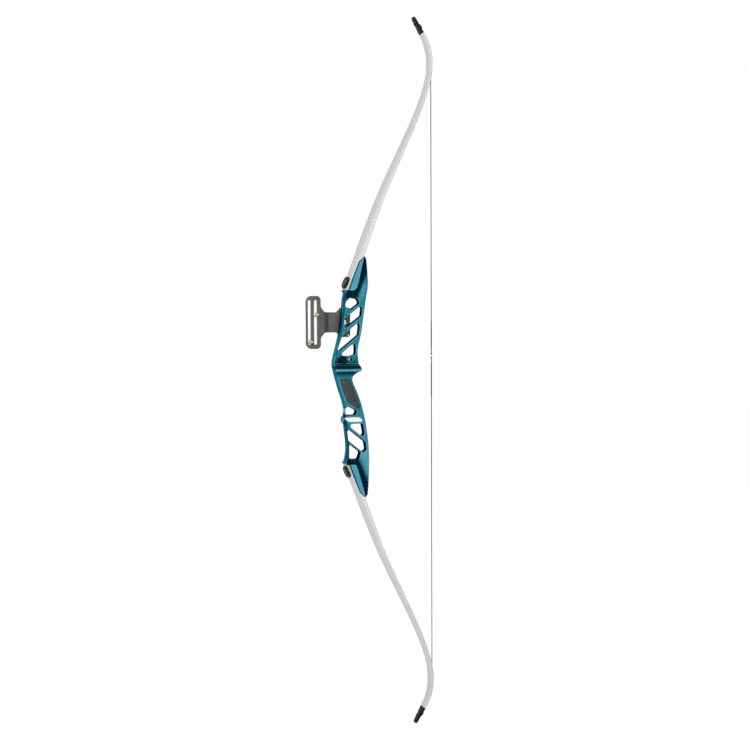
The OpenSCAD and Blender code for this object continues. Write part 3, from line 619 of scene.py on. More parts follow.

# %% [markdown]
# ## Limbs
# A limb is a flat laminated spring, and its layers show as thin dark seams along both sides.
# It is thick and straight where it is bolted to the riser, thins and narrows towards the tip,
# and curls forward again at its end. Each limb is one face extruded along the measured line
# of its back, with its own width and thickness at each step. Butt and working part are a
# single piece. The seams are narrow rows of side faces that get a darker finish.

# %% The limb's line
POCKET_ANGLE = math.radians(21.6)
POCKET_FRONT = 4.9
POCKET_Z = 203.465
BACK_LINE = [(-8.5, -16), (-8.5, 20), (-8.5, 60), (-9.2, 108), (-8.9, 158), (-7.6, 210),
             (-4.4, 263), (-0.2, 315), (4, 370), (6.4, 425), (5.2, 470), (1.6, 499),
             (-4.8, 521.4), (-14.4, 543.3), (-29.5, 563.2), (-47, 578.4), (-63.1, 588.4)]
THICK_AT = [(-16, 8.5), (60, 8.5), (90, 9.2), (125, 8.3), (180, 7.1), (247, 6.3), (370, 5.0),
            (470, 4.5), (590, 4.4)]
WIDTH_AT = [(-16, 38), (20, 38), (75, 42), (130, 42), (241, 40), (363, 36), (430, 31.5),
            (500, 28.5), (545, 26), (579, 20)]


def lookup(x, table):
    keys, values = zip(*table)
    return float(np.interp(x, keys, values))


def from_pocket(x, y, z, end):
    """A point of the upper limb's pocket frame in metres; end -1 flips it to the lower limb."""
    c, s = math.cos(POCKET_ANGLE), math.sin(POCKET_ANGLE)
    return Vector((-POCKET_FRONT + x * c + z * s, y, end * (POCKET_Z - x * s + z * c))) * MM


def box_ring(width, low, high, edge, corner=3, seams=()):
    """An outline with rounded corners, as (across, through) pairs, with points for the seams."""
    ring = []
    for sx, sz, start in ((1, 1, 0), (-1, 1, 90), (-1, -1, 180), (1, -1, 270)):
        if sx == sz < 0:
            ring += [(-width / 2, s) for s in sorted(seams, reverse=True)]
        for k in range(corner + 1):
            a = math.radians(start + 90 * k / corner)
            cx = sx * (width / 2 - edge)
            cz = (high - edge) if sz > 0 else (low + edge)
            ring.append((cx + edge * math.cos(a), cz + edge * math.sin(a)))
    return ring + [(width / 2, s) for s in sorted(seams)]


limb_line = smooth_line(BACK_LINE, 8)[:-8]


def line_way(line, i):
    way = line[min(i + 1, len(line) - 1)] - line[max(i - 1, 0)]
    return way / np.linalg.norm(way)


SKIN, SEAM = 1.0, 0.35


def limb_rings(end):
    rings = []
    for i, point in enumerate(limb_line):
        way = line_way(limb_line, i)
        belly = np.array([way[1], -way[0]])
        thick = lookup(point[1], THICK_AT)
        seams = [SKIN, SKIN + SEAM, thick - SKIN - SEAM, thick - SKIN]
        rings.append([from_pocket(point[0] + belly[0] * t, w, point[1] + belly[1] * t, end)
                      for w, t in box_ring(lookup(point[1], WIDTH_AT), 0, thick, 0.8,
                                           seams=seams)])
    return rings


def darken_seams(limb):
    """Gives the narrow side faces between the layers the seam's finish."""
    limb.data.materials.append(limb_seam)
    for face in limb.data.polygons:
        corners = [limb.data.vertices[i].co for i in face.vertices]
        narrow = min((corners[k] - corners[k - 1]).length for k in range(len(corners)))
        if abs(face.normal.y) > 0.9 and abs(narrow / MM - SEAM) < 0.05:
            face.material_index = 1


for end, name in ((1, "upper"), (-1, "lower")):
    limb = drawn_out(name + "_limb", limb_rings(end))
    smooth_shaded(limb, 35)
    wear(limb, limb_grey)
    darken_seams(limb)
    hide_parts(name + "_limb_butt", name + "_limb_blade")
    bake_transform(limb)
    print(name, "limb:", len(limb.data.polygons), "faces")

# %% [markdown]
# ## Riser
# The riser is milled from one bar of aluminium. Its level sections change all the way up:
# broad pads for the limbs, a flat web pierced between them, a full rounded grip and an arrow
# shelf with a lip. So it is drawn out through many level outlines, every 2 mm, each with
# rounded edges and a hollow sweep where the wide pads step back to the narrow spine. The
# pockets, cut-outs and bores are cut afterwards with Boolean modifiers, and every cutter
# widens at the surface, which leaves the small chamfer of a milling tool, lit by a painted
# highlight.

# %% The riser's outlines
HALF = 264.5
PAD_FOOT = 189.5
WEB_TOP = 178
WEB = 10.5
PAD = 24
GRIP = 13
WINDOW_NEAR, WINDOW_FAR = -2.5, 20.5
SHOULDER = 20
CHEEK = 7


def cheek_edge(z):
    return (-POCKET_FRONT - CHEEK / math.cos(POCKET_ANGLE)
            + (z - POCKET_Z) * math.tan(POCKET_ANGLE))


def down(points):
    """The same points at the lower end, in rising order."""
    return [(-z, v) for z, v in reversed(points)]


def eased(points, n=6):
    return [tuple(p) for p in smooth_line(points, n)]


pad_front = ([(z, cheek_edge(z)) for z in (190.5, 250.5)]
             + [(254, 8.6), (257, 11.4), (259.5, 14.4), (261.6, 17.2), (263.3, 19.6), (HALF, 22)])
FRONT = (down(pad_front)
         + eased([(-189.5, -22), (-177, -18.8), (-158, -16.2), (-142, -16.8), (-122, -19),
                  (-100, -21.6), (-82, -22), (-70, -21.2), (-57, -23.2), (-37, -29.5),
                  (-15, -36.6), (8, -42.5), (24, -45)])
         + eased([(24.01, -45), (41, -42.2), (64, -36.5), (92, -29.4), (125, -24), (155, -21),
                  (177, -18.8), (189.5, -19.4)])
         + pad_front)
REAR = (eased([(-264.5, 26.5), (-262, 28.6), (-256.5, 30), (-232.5, 32.2), (-178, 33.7),
               (-138, 31.2), (-98, 25.5), (-73, 20), (-51.5, 13.6), (-31.3, 6), (-12.4, -2.4),
               (-3.4, -4.8), (3.6, -3), (9.6, 4), (15.8, 15.6)])
        + eased([(17.6, 15.4), (38, 14.2), (54, 12.8), (69, 14.4), (97, 21.2), (132, 26.6),
                 (172, 32.4), (204.5, 33.2), (232.5, 31.8), (256.5, 29.5), (262, 28.3),
                 (264.5, 26.3)]))
lower_flange = [(189.5, -5), (191, -3), (193, -1.5), (200, 1.5), (216, 6.6), (233, 11.6),
                (252, 17.2), (HALF, 21)]
upper_flange = [(189.5, -7), (190.5, -4.2), (192.3, -1.6), (195, 0.9), (199, 3.2), (206, 5.4),
                (215, 7.6), (228, 10.7), (242, 14), (255, 17.6), (HALF, 21)]
FLANGE = down(lower_flange) + [(-183, -2.5), (-170, 0), (170, 0), (183, -4)] + upper_flange
pad_side = [(185.5, 12), (189.5, 21), (191, PAD), (257.5, PAD), (261, 22.8), (263.3, 20.6),
            (HALF, 17.5)]
waist = [(-WEB_TOP, WEB), (-70, WEB), (-60, GRIP), (4, GRIP)]
shelf = [(9, 13.4), (12, 13.6), (13.6, 17), (16.4, 18.6), (19.4, 17.4), (20.8, 14), (23, 13.2),
         (28, 4), (30.5, WINDOW_NEAR)]
near_pad = [(164, WINDOW_NEAR), (170, -1.5), (175, 1.5), (179, 5.5), (182.5, 9.5)] + pad_side
near_spine = [(164, WINDOW_NEAR), (172, -1.6), (180, 0.8), (188, 4.2), (197, 7.6), (207, 9.5),
              (HALF, 9.5)]
window_back = [(14, GRIP), (34, WINDOW_FAR), (174, WINDOW_FAR), (184.5, 12.5)]
NEAR = down(pad_side) + waist + shelf + near_pad
FAR = down(pad_side) + waist + window_back + [(185.5, 12.6)] + pad_side[1:]
SPINE_NEAR = [(-HALF, 9.5)] + waist + shelf + near_spine
SPINE_FAR = [(-HALF, 9.5)] + waist + window_back[:3] + [(HALF, 9.5)]
EDGE = [(-HALF, 1), (-200, 1.5), (-75, 2.5), (-55, 5), (-5, 5), (8, 3), (28, 2), (WEB_TOP, 2.5),
        (200, 1.5), (HALF, 1)]

# Width of the painted shade line along the front edge of each side, beyond the rounded edge
FRINGE = [(-200, 0.5), (-180, 1.2), (-62, 1.2), (-55, 0.5), (36, 0.5), (50, 1), (165, 1),
          (190, 0.5)]


def turn(x, y, r, start, steps=3):
    """A quarter turn of radius r round (x, y), clockwise from above, from the angle start."""
    return [(x + r * math.cos(math.radians(start + 90 * k / steps)),
             y + r * math.sin(math.radians(start + 90 * k / steps))) for k in range(steps + 1)]


def hollow(x, y0, y1, reach):
    """A hollow sweep from the wide pad's edge (x, y0) in to the spine's side at y1."""
    return [(x + reach * u, y1 + (y0 - y1) * (1 - u) ** 1.45) for u in (0, 0.25, 0.5, 0.75, 1)]


def level_of(z):
    """Front, rear, edge radius, and the start and reach of the hollow sweep at height z."""
    f, r, b = lookup(z, FRONT), lookup(z, REAR), lookup(z, EDGE)
    step = max(0.3, min(SHOULDER, (r - f - 2 * b - 1) / 2))
    return f, r, b, max(f + b + 0.5, min(lookup(z, FLANGE), r - b - step - 0.5)), step


def side_face(z, f, b, ridge, y):
    """Points along a flat side, from its front edge past the painted shade line to the ridge."""
    line = lookup(z, FRINGE)
    room = ridge - f - b
    return [(f + b + min(line, room * 0.4), y), (f + b + min(line + 0.9, room * 0.7), y),
            (ridge, y)]


def riser_ring(z):
    f, r, b, m, step = level_of(z)
    n, p = -lookup(z, NEAR), -lookup(z, SPINE_NEAR)
    w, q = lookup(z, FAR), lookup(z, SPINE_FAR)
    e, g = min(0.7, max(0, p - n) / 3), min(0.7, max(0, w - q) / 3)
    bare = [(m + step + (r - b - m - step) * k / 3, p) for k in (1, 2)]
    ring = (turn(f + b, n + b, b, 180) + side_face(z, f, b, max(f + b + 0.1, m - 0.3 - e), n)
            + hollow(m, n + e, p, step) + bare + turn(r - b, p + b, b, 270)
            + turn(r - b, q - b, b, 0) + hollow(m, w - g, q, step)[::-1]
            + side_face(z, f, b, max(f + b + 0.1, m - 0.3 - g), w)[::-1]
            + turn(f + b, w - b, b, 90))
    return [Vector((x, y, z)) * MM for x, y in ring]


breaks = [z for table in (NEAR, FAR, FLANGE) for z, _ in table]
levels = sorted({round(z, 2) for z in breaks + list(np.arange(-264, 265, 2.0)) if abs(z) <= HALF})
levels = [z for i, z in enumerate(levels) if i == 0 or z - levels[i - 1] > 0.35 or z == HALF]
riser = drawn_out("riser_body", [riser_ring(z) for z in levels])
print("riser blank:", len(riser.data.polygons), "faces through", len(levels), "outlines")

# %% [markdown]
# ## Cut-outs
# Eight openings make the riser lighter and let the wind through. They could be built into the
# mesh by hand, face by face. A Boolean with a solid cutter is closer to how the metal is
# really milled, and the cutter's wider ends leave the chamfer in the same step.

# %% Cutting tools and cut-outs


def corner_arc(a, b, c, radius, n=5):
    """Points that round the corner b between a and c."""
    a, b, c = (np.array(p[:2], float) for p in (a, b, c))
    if radius <= 0:
        return [b]
    u, v = (a - b) / np.linalg.norm(a - b), (c - b) / np.linalg.norm(c - b)
    half_turn = math.acos(np.clip(u @ v, -1, 1)) / 2
    middle = b + (u + v) / np.linalg.norm(u + v) * radius / math.sin(half_turn)
    start, stop = (b + w * radius / math.tan(half_turn) - middle for w in (u, v))
    swing = math.acos(np.clip(start @ stop / radius ** 2, -1, 1))
    swing *= np.sign(start[0] * stop[1] - start[1] * stop[0])
    return [middle + np.array([start[0] * math.cos(t) - start[1] * math.sin(t),
                               start[0] * math.sin(t) + start[1] * math.cos(t)])
            for t in (swing * k / n for k in range(n + 1))]


def rounded(corners, n=5):
    count = len(corners)
    return np.array([p for i in range(count)
                     for p in corner_arc(corners[i - 1], corners[i], corners[(i + 1) % count],
                                         corners[i][2], n)])


def grown(outline, d):
    """The outline moved out by d all round."""
    ahead, behind = np.roll(outline, -1, 0), np.roll(outline, 1, 0)
    area = np.sum(outline[:, 0] * ahead[:, 1] - outline[:, 1] * ahead[:, 0])
    way = ahead - behind
    way /= np.linalg.norm(way, axis=1)[:, None]
    return outline + np.sign(area) * d * np.stack([way[:, 1], -way[:, 0]], 1)


def side_solid(name, outline, layers):
    """A solid whose outline lies in X and Z, drawn out along Y through (y, growth) layers."""
    return drawn_out(name, [[Vector((x, y, z)) * MM for x, z in grown(outline, d)]
                            for y, d in layers])


def circle(x, z, r, n=32):
    return np.array([(x + r * math.cos(2 * math.pi * k / n), z + r * math.sin(2 * math.pi * k / n))
                     for k in range(n)])


def flared(y0, y1, chamfer, reach=40):
    """Layers of a cutter that passes a wall from y0 to y1 and chamfers both of its edges."""
    return [(-reach, chamfer), (y0, chamfer), (y0 + chamfer, 0), (y1 - chamfer, 0), (y1, chamfer),
            (reach, chamfer)]


def boolean(obj, tool, operation="DIFFERENCE"):
    apply_modifier(obj, "BOOLEAN", object=tool, operation=operation, solver="EXACT")
    bpy.data.objects.remove(tool)


CHAMFER = 1.5
CUT_OUTS = [
    [(-15.5, 156, 3), (-14.5, 166, 12), (-3, 176, 12), (14, 172, 8), (17.2, 163, 4),
     (-4, 148, 2.5)],
    [(-17.5, 128.5, 3), (14.5, 153.5, 0), (22.5, 159.5, 5), (24, 151, 3), (21.8, 135.5, 3),
     (-9, 112, 3), (-17, 109, 3)],
    [(-23.6, 90.5, 3), (7.5, 115.5, 0), (16.4, 121.5, 4), (18, 113, 3), (15.6, 93.5, 4),
     (-27, 60, 3), (-34.5, 60, 2.5)],
    [(-23.5, 54, 1.5), (-4.5, 69.5, 0), (6.8, 75.5, 3), (8.2, 68, 2), (7.6, 50, 4),
     (-3, 47.2, 2), (-23, 47.6, 2)],
    [(-21, -66.5, 3), (-14, -62.5, 2.5), (6.5, -73, 5), (2.5, -82.5, 5), (-21.2, -81.5, 2)],
    [(-9, -101.5, 3.5), (19.5, -101.5, 5), (23.6, -127, 5), (16.5, -129.5, 2.5), (-9, -109.5, 3)],
    [(-17.5, -116, 3), (-10, -114.5, 2.5), (25, -142.5, 4), (28, -160, 4), (20, -166, 3),
     (-15, -138, 3)],
    [(-13, -149, 2.5), (-7.5, -148, 1.5), (14.5, -165.5, 4.5), (9, -181, 5.5), (-13, -179.5, 3)]]
for i, corners in enumerate(CUT_OUTS):
    wall = (-WINDOW_NEAR, WINDOW_FAR) if i < 4 else (-WEB, WEB)
    boolean(riser, side_solid("cutter", rounded(corners), flared(*wall, CHAMFER)))
print("with its cut-outs:", len(riser.data.polygons), "faces")

# %% [markdown]
# ## Pockets, bores and recesses
# The limbs sit in tapered pockets, each with a bore for its bolt and one for its locating
# pin. The front boss takes the stabiliser, and small holes take the plunger and the sight's
# screws. All are cut with solids that have the real tool's outline. The grip and the badge
# lie in shallow recesses, cut to the same outlines as the pieces that fill them.

# %% Pockets, bores and recesses
BOSS_Z = -92
PLUNGER = (-4, 39.5, 3.97)
SIGHT_X, SIGHT_Z, HALF_PITCH = -14.3, 121.3, 16.67
SIGHT_SCREWS = [(SIGHT_X, SIGHT_Z + s * HALF_PITCH, 2.1) for s in (-1, 1)]
RECESS = 1.5


def room_ring(x, grow, end):
    half = [(-16.3 - grow, 15), (-15, 19.3 + grow), (20, 19.3 + grow), (36, 20.0 + grow),
            (61, 21.3 + grow), (200, 21.3 + grow)]
    ring = [from_pocket(x, y, z, end) for z, y in half]
    return ring + [from_pocket(x, -y, z, end) for z, y in reversed(half)]


def turned_tool(name, origin, axis, profile, n=32):
    """A round solid along axis from origin, through (distance, radius) pairs in mm."""
    axis = Vector(axis).normalized()
    side = axis.cross(Vector((0, 1, 0)) if abs(axis.y) < 0.9 else Vector((0, 0, 1))).normalized()
    other = axis.cross(side)
    return drawn_out(name, [[Vector(origin) + axis * d * MM
                             + (side * math.cos(2 * math.pi * k / n)
                                + other * math.sin(2 * math.pi * k / n)) * r * MM
                             for k in range(n)] for d, r in profile])


for end in (1, -1):
    room = drawn_out("room", [room_ring(x, g, end) for x, g in
                              ((0, 0), (-6.3, 0), (-7.2, 0.9), (-60, 0.9))])
    boolean(riser, room)
    into_pad = from_pocket(1, 0, 0, end) - from_pocket(0, 0, 0, end)
    for up_limb, deep, r in ((0, 20, 6.06), (38, 12, 3.06)):
        boolean(riser, turned_tool("bore", from_pocket(0, 0, up_limb, end), into_pad,
                                   [(-1, r), (deep, r)]))

boolean(riser, turned_tool("boss", (-0.025, 0, BOSS_Z * MM), (1, 0, 0),
                           [(0, 7.9), (0.6, 8.5), (9, 8.5)]), "UNION")
boolean(riser, turned_tool("bore", (-0.032, 0, BOSS_Z * MM), (1, 0, 0), [(0, 6.06), (29, 6.06)]))
x, z, r = PLUNGER
boolean(riser, side_solid("bore", circle(x, z, r, 40), flared(-WINDOW_NEAR, WINDOW_FAR, 0.6)))
for x, z, r in SIGHT_SCREWS:
    boolean(riser, side_solid("bore", circle(x, z, r, 24), flared(-WINDOW_NEAR, WINDOW_FAR, 0.5)))

BADGE = rounded([(-25, -89, 1), (-21, -86.5, 1.5), (10, -87, 4), (19, -93, 3), (15.5, -98.3, 2.5),
                 (-14.5, -97.3, 2)])
PANEL = rounded([(-34.5, -3, 2), (-11.5, -3, 2), (-9, -10.5, 8), (-1, -29, 30), (10.8, -61, 3),
                 (10.2, -67.5, 2), (-4, -62.5, 14), (-19, -50.5, 16), (-30, -26, 40)], 8)
boolean(riser, side_solid("recess", BADGE, [(-30, 0.5), (-WEB, 0.5), (-WEB + 0.5, 0),
                                            (-WEB + RECESS, 0)]))
for s in (-1, 1):
    boolean(riser, side_solid("recess", PANEL, [(s * 30, 0.6), (s * GRIP, 0.6),
                                                (s * (GRIP - 0.6), 0), (s * (GRIP - RECESS), 0)]))
outward(riser)
smooth_shaded(riser, 32)
wear(riser, teal_metal)
print("with its bores and recesses:", len(riser.data.polygons), "faces")

# %% [markdown]
# ## Painted light and shade on the riser
# Light and shade are painted into the riser's colour: pale, as painted light, on the raised
# cheeks of the limb pads and on the bead of the shelf, and deep, as painted shade, in the hollow
# sweeps beside them. A painted shade line runs along the front edges, and a painted highlight
# streak beside each sweep. A picture could be painted for this. The riser's outlines are known
# as numbers, though, so the tone is worked out from them and stored at every point of the
# mesh, where it follows the shape exactly.

# %% Painted light and shade values
# Painted shade in the shelf's grooves and painted light on its bead, by height
SHELF_BANDS = [(2, 0), (7, -0.7), (12.3, -1), (13.6, -0.3), (15.5, 0.9), (18, 0.6), (19.4, -0.6),
               (21, -1), (25, -1), (27.5, 0.3), (29, 0.6), (31, 0)]


# How far back the painted shade of the sweeps reaches, in X, at each height
UPPER_SWEEP = [(168, 12), (184, 14), (200, 19), (210, 23), (225, 30), (240, 40)]
LOWER_SWEEP = [(165, 6), (185, 12), (211, 23), (230, 31), (240, 40)]


def front_painted_light_shade(x, y, z, f, b):
    """Painted light and shade of the front edge: the front face is painted pale away from the
    painted shade line at its near side.
    """
    barred = -182 < z < -62 or 48 < z < 186
    padded = abs(z) > PAD_FOOT
    if x > f + b + lookup(z, FRINGE) + 0.1 or not (barred or padded):
        return None
    if x < f + 0.3 and y > 4 and barred:
        return 0.6
    return -0.85


def painted_streak_highlight(x, z):
    """Painted highlights on the near spine: a streak beside the upper foot, a face beside the
    lower.
    """
    if z > 0:
        along = float(np.interp(z, [168, 180, 200, 214], [0, 2, 2, 0]))
        return along * max(0.0, 1 - abs(x - 22 - (z - 185) * 0.15) / 7)
    along = float(np.interp(-z, [90, 130, 172, 205, 238], [0, 0.4, 1.5, 1.5, 0]))
    return along * float(np.clip((x - lookup(-z, LOWER_SWEEP) - 1) / 4, 0, 1))


def sweep_painted_light_shade(x, z, m):
    """Painted shade in the near hollow sweep, deep from the ridge back to the sweep's rear line,
    with the painted highlights added.
    """
    rear = lookup(abs(z), UPPER_SWEEP if z > 0 else LOWER_SWEEP)
    along = float(np.interp(abs(z), [168, 176], [0, 1]))
    deep = along * float(np.interp(x - rear, [-3, 2], [1, 0.05]))
    return -deep * float(np.interp(x - m, [0, 1.5], [0.7, 1])) + painted_streak_highlight(x, z)


def painted_light_shade_at(x, y, z):
    """How much painted light (up to 1) and painted shade (down to -1) the colour takes: painted
    light on cheeks, painted shade in sweeps and grooves.
    """
    wide, spine = (NEAR, SPINE_NEAR) if y < WINDOW_FAR / 3 else (FAR, SPINE_FAR)
    wide, spine = lookup(z, wide), lookup(z, spine)
    if abs(z) < 31:
        return lookup(z, SHELF_BANDS) if y < 0 and -y > wide - 2.5 else 0.0
    f, r, b, m, step = level_of(z)
    edge = front_painted_light_shade(x, y, z, f, b)
    if edge is not None:
        return edge
    if x < m - 0.2:
        if abs(y) < wide - 1.5:
            return 0.0
        if wide > PAD - 2.5:
            return 1.25
        return -float(np.interp(abs(z), [168, 176], [0, 1])) if y < 5 and wide < PAD - 2 else 0.0
    if y < 5:
        return sweep_painted_light_shade(x, z, m) if x < r - 0.5 else -float(np.interp(z, [215, 235], [0, 0.8]))
    if y < spine - 1.5 or wide - spine < 0.5:
        return 0.0
    u = (x - m) / step
    return -min(1.0, (wide - spine) / 8) * float(np.interp(u, [0, 0.1, 0.7, 0.9, 1],
                                                           [0.6, 1, 0.95, 0.5, 0.1]))


# The painted light and shade is stored at every point of the riser's mesh.
dye = riser.data.attributes.new("dye", "FLOAT", "POINT")
dye.data.foreach_set("value", [painted_light_shade_at(*(v.co / MM)) for v in riser.data.vertices])
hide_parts("riser")
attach(riser, "riser")
print("riser:", len(riser.data.polygons), "faces")

# %% [markdown]
# ## Grip panels and badge
# Each grip panel is a moulded rubber inlay: its lower layer fills the recess in the metal, and
# its upper edge is drawn in and rounded over. The badge is a thin plain plate in a shallow
# recess below the grip. Both are outlines that are drawn out sideways in layers and pulled in a
# little at each layer.

# %% Grip panels and badge
PANEL_FIT = 0.5
PANEL_LAYERS = [(0, 0), (2.3, 0), (3, 0.25), (3.5, 0.6), (3.85, 1.0), (4, 1.4)]
for s, name in ((-1, "left_grip_panel"), (1, "right_grip_panel")):
    panel = side_solid(name + "_rubber", PANEL,
                       [(s * (GRIP - RECESS + h), -PANEL_FIT - d) for h, d in PANEL_LAYERS])
    smooth_shaded(panel, 40)
    wear(panel, grip_rubber)
    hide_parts(name)
    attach(panel, "riser")
badge = side_solid("badge", BADGE, [(-WEB + RECESS, -0.6), (-WEB + 0.55, -0.6),
                                    (-WEB + 0.3, -0.85)])
smooth_shaded(badge, 20)
wear(badge, badge_white)
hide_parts("badge_plate")
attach(badge, "riser")
print("grip panel:", len(panel.data.polygons), "faces; badge:", len(badge.data.polygons))

# %% [markdown]
# ## Limb bolts
# A limb bolt is a steel screw with a hexagon socket. It presses a black knob onto the limb
# through a washer. Turned parts like these are circles that are extruded along their axis and
# scaled to the next radius, which is how a lathe would cut them.

# %% Limb bolts and knobs
SEAT = 9.6
KNOB = [(0, 13), (0.3, 13.5), (1, 14), (4.3, 14), (5, 13.6), (5.4, 13), (5.5, 12.3), (5.3, 11.2),
        (4.4, 9.8), (3.7, 8.8), (3.5, 7.4), (3.5, 3.99)]
HEAD = [(-26, 3.2), (-25.4, 3.9), (3.52, 3.9), (3.52, 6.3), (3.8, 6.5), (4.7, 6.5), (5.1, 6.1),
        (5.15, 5.2)]


def turned(name, origin, axis, profile, finish, node, body, n=48, bore=None, angle=30):
    """A turned piece that takes the place of a CAD node, with an optional bore right through."""
    made = turned_tool(name, origin, axis, profile, n)
    if bore:
        boolean(made, turned_tool("bore", origin, axis,
                                  [(profile[0][0] - 2, bore), (profile[-1][0] + 2, bore)], n))
    outward(made)
    smooth_shaded(made, angle)
    wear(made, finish)
    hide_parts(node)
    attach(made, body)
    return made


def hex_socket(obj, origin, axis, start, end, across):
    boolean(obj, turned_tool("socket", origin, axis, [(start, across), (end, across)], 6))


for end, name in ((1, "upper"), (-1, "lower")):
    seat = from_pocket(-SEAT, 0, 0, end)
    out_of_pad = from_pocket(-1, 0, 0, end) - from_pocket(0, 0, 0, end)
    turned(name + "_knob_turned", seat, out_of_pad, KNOB[:-1], knob_black, name + "_knob",
           name + "_bolt", bore=4.0)
    screw = turned(name + "_limb_bolt", seat, out_of_pad, HEAD, dark_steel, name + "_bolt",
                   name + "_bolt")
    hex_socket(screw, seat, out_of_pad, 2.4, 7, 3.5)
    outward(screw)
    smooth_shaded(screw, 30)
print("knob and bolt:", len(screw.data.polygons), "faces in the bolt")

# %% [markdown]
# The stabiliser bushing is a sleeve with a flange, dyed like the riser and tapped right
# through. Its thread shows in the mouth, so the bore is drawn out along a real screw line: the
# radius of each ring swings between the thread's root and crest as it goes round and along.

# %% Threads and the stabiliser bushing


def threaded_tool(name, origin, axis, start, end, root, crest, pitch, n=20, inside=False):
    """A screw-cut rod; with inside set, its ends stay wide so that it can cut a tapped bore."""
    axis = Vector(axis).normalized()
    side = axis.cross(Vector((0, 1, 0)) if abs(axis.y) < 0.9 else Vector((0, 0, 1))).normalized()
    other = axis.cross(side)
    rings = []
    for d in np.arange(start, end + 1e-6, pitch / 4):
        near_end = min(1.0, (d - start) / pitch, (end - d) / pitch)
        ring = []
        for k in range(n):
            wave = abs(2 * ((d / pitch - k / n) % 1) - 1)
            r = root + (crest - root) * (wave if inside else min(wave, near_end))
            t = 2 * math.pi * k / n
            ring.append(Vector(origin) + axis * d * MM
                        + (side * math.cos(t) + other * math.sin(t)) * r * MM)
        rings.append(ring)
    return drawn_out(name, rings)


front_of_boss = Vector((-0.027, 0, BOSS_Z * MM))
bushing = turned("bushing", front_of_boss, (1, 0, 0),
                 [(0, 6.9), (0.4, 7.5), (2, 7.5), (2.01, 6), (24, 6)], teal_metal,
                 "stabiliser_bushing", "riser")
boolean(bushing, threaded_tool("tap", front_of_boss, (1, 0, 0), -1.1, 25, 3.6, 3.97, 1.06,
                               inside=True))
outward(bushing)
smooth_shaded(bushing, 35)
wear(bushing, teal_metal)
print("bushing:", len(bushing.data.polygons), "faces")

# %% [markdown]
# ## Sight
# The bracket is one aluminium plate with a step bent into it. Two outlines make it: the plate
# seen from above, with the bend, and the plate seen from the side. A Boolean modifier keeps what
# both have in common, the slots and holes are cut, and a Bevel modifier breaks all the
# edges, as deburring does.

# %% Sight bracket
HEAD_LOW, HEAD_TOP = SIGHT_Z - 57.75, SIGHT_Z + 57.75
PLATE_Y, HEAD_Y, PLATE = 20.5, 13.5, 3


def plan_solid(name, corners, z0, z1):
    outline = rounded(corners)
    return drawn_out(name, [[Vector((x, y, z)) * MM for x, y in outline] for z in (z0, z1)])


plan = [(25, PLATE_Y, 0), (-49, PLATE_Y, 3), (-61, HEAD_Y, 6), (-125, HEAD_Y, 0),
        (-125, HEAD_Y + PLATE, 0), (-61, HEAD_Y + PLATE, 3), (-49, PLATE_Y + PLATE, 6),
        (25, PLATE_Y + PLATE, 0)]
bracket = plan_solid("bracket", plan, 50, 195)
side_view = [(-103, HEAD_LOW, 13), (-103, HEAD_TOP, 13), (-69, HEAD_TOP, 9),
             (-69, SIGHT_Z + 34.25, 4), (-60, SIGHT_Z + 22.25, 9), (-31, SIGHT_Z + 22.25, 3),
             (-21, SIGHT_Z + 32.6, 3), (1.5, SIGHT_Z + 32.6, 6), (1.5, SIGHT_Z - 32.6, 6),
             (-21, SIGHT_Z - 32.6, 3), (-31, SIGHT_Z - 22.25, 3), (-60, SIGHT_Z - 22.25, 9),
             (-69, SIGHT_Z - 34.25, 4), (-69, HEAD_LOW, 9)]
ACROSS = [(0, 0), (40, 0)]
boolean(bracket, side_solid("outline", rounded(side_view, 8), ACROSS), "INTERSECT")
SLOT_X = {"front": -95.2, "rear": -81.0}
for x in SLOT_X.values():
    slot = [(x - 3.25, HEAD_LOW + 9, 3.24), (x - 3.25, HEAD_TOP - 9, 3.24),
            (x + 3.25, HEAD_TOP - 9, 3.24), (x + 3.25, HEAD_LOW + 9, 3.24)]
    boolean(bracket, side_solid("slot", rounded(slot, 6), ACROSS))
holes = [(SIGHT_X, SIGHT_Z - HALF_PITCH, 2.4), (SIGHT_X, SIGHT_Z + HALF_PITCH, 2.4),
         (SIGHT_X, SIGHT_Z, 6.75),
         (-2.5, SIGHT_Z - 28.6, 1.5), (-2.5, SIGHT_Z + 28.6, 1.5)]
for x, z, r in holes:
    boolean(bracket, side_solid("hole", circle(x, z, r, 28), ACROSS))
apply_modifier(bracket, "BEVEL", width=0.35 * MM, segments=2, limit_method="ANGLE",
               angle_limit=math.radians(40))
smooth_shaded(bracket, 32)
wear(bracket, bracket_grey)
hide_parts("sight_bracket")
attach(bracket, "riser")
print("bracket:", len(bracket.data.polygons), "faces")

# %% [markdown]
# ## Sight fittings
# Two socket screws hold the bracket. Each sight pin is a brass rod that slides in a slot and
# is clamped there by two knurled nuts. They are turned on a lathe, so here too they are
# circles drawn out along their axis; the nuts' knurling is a rim whose points stand out by
# turns.

# %% Sight screws, pins and knurled nuts
SCREW_BACK = PLATE_Y + PLATE
for s, name in ((1, "upper"), (-1, "lower")):
    at = (SIGHT_X * MM, SCREW_BACK * MM, (SIGHT_Z + s * HALF_PITCH) * MM)
    screw = turned(name + "_bracket_screw", at, (0, 1, 0),
                   [(-13, 2.0), (0, 2.0), (0, 3.7), (0.3, 4), (2.4, 4), (2.9, 3.5), (3, 2.9)],
                   steel, name + "_sight_screw", "riser", n=32)
    hex_socket(screw, at, (0, 1, 0), 1.2, 4, 1.8)
    outward(screw)
    smooth_shaded(screw, 30)

NUT_T, PIN_R = 5, 2.4


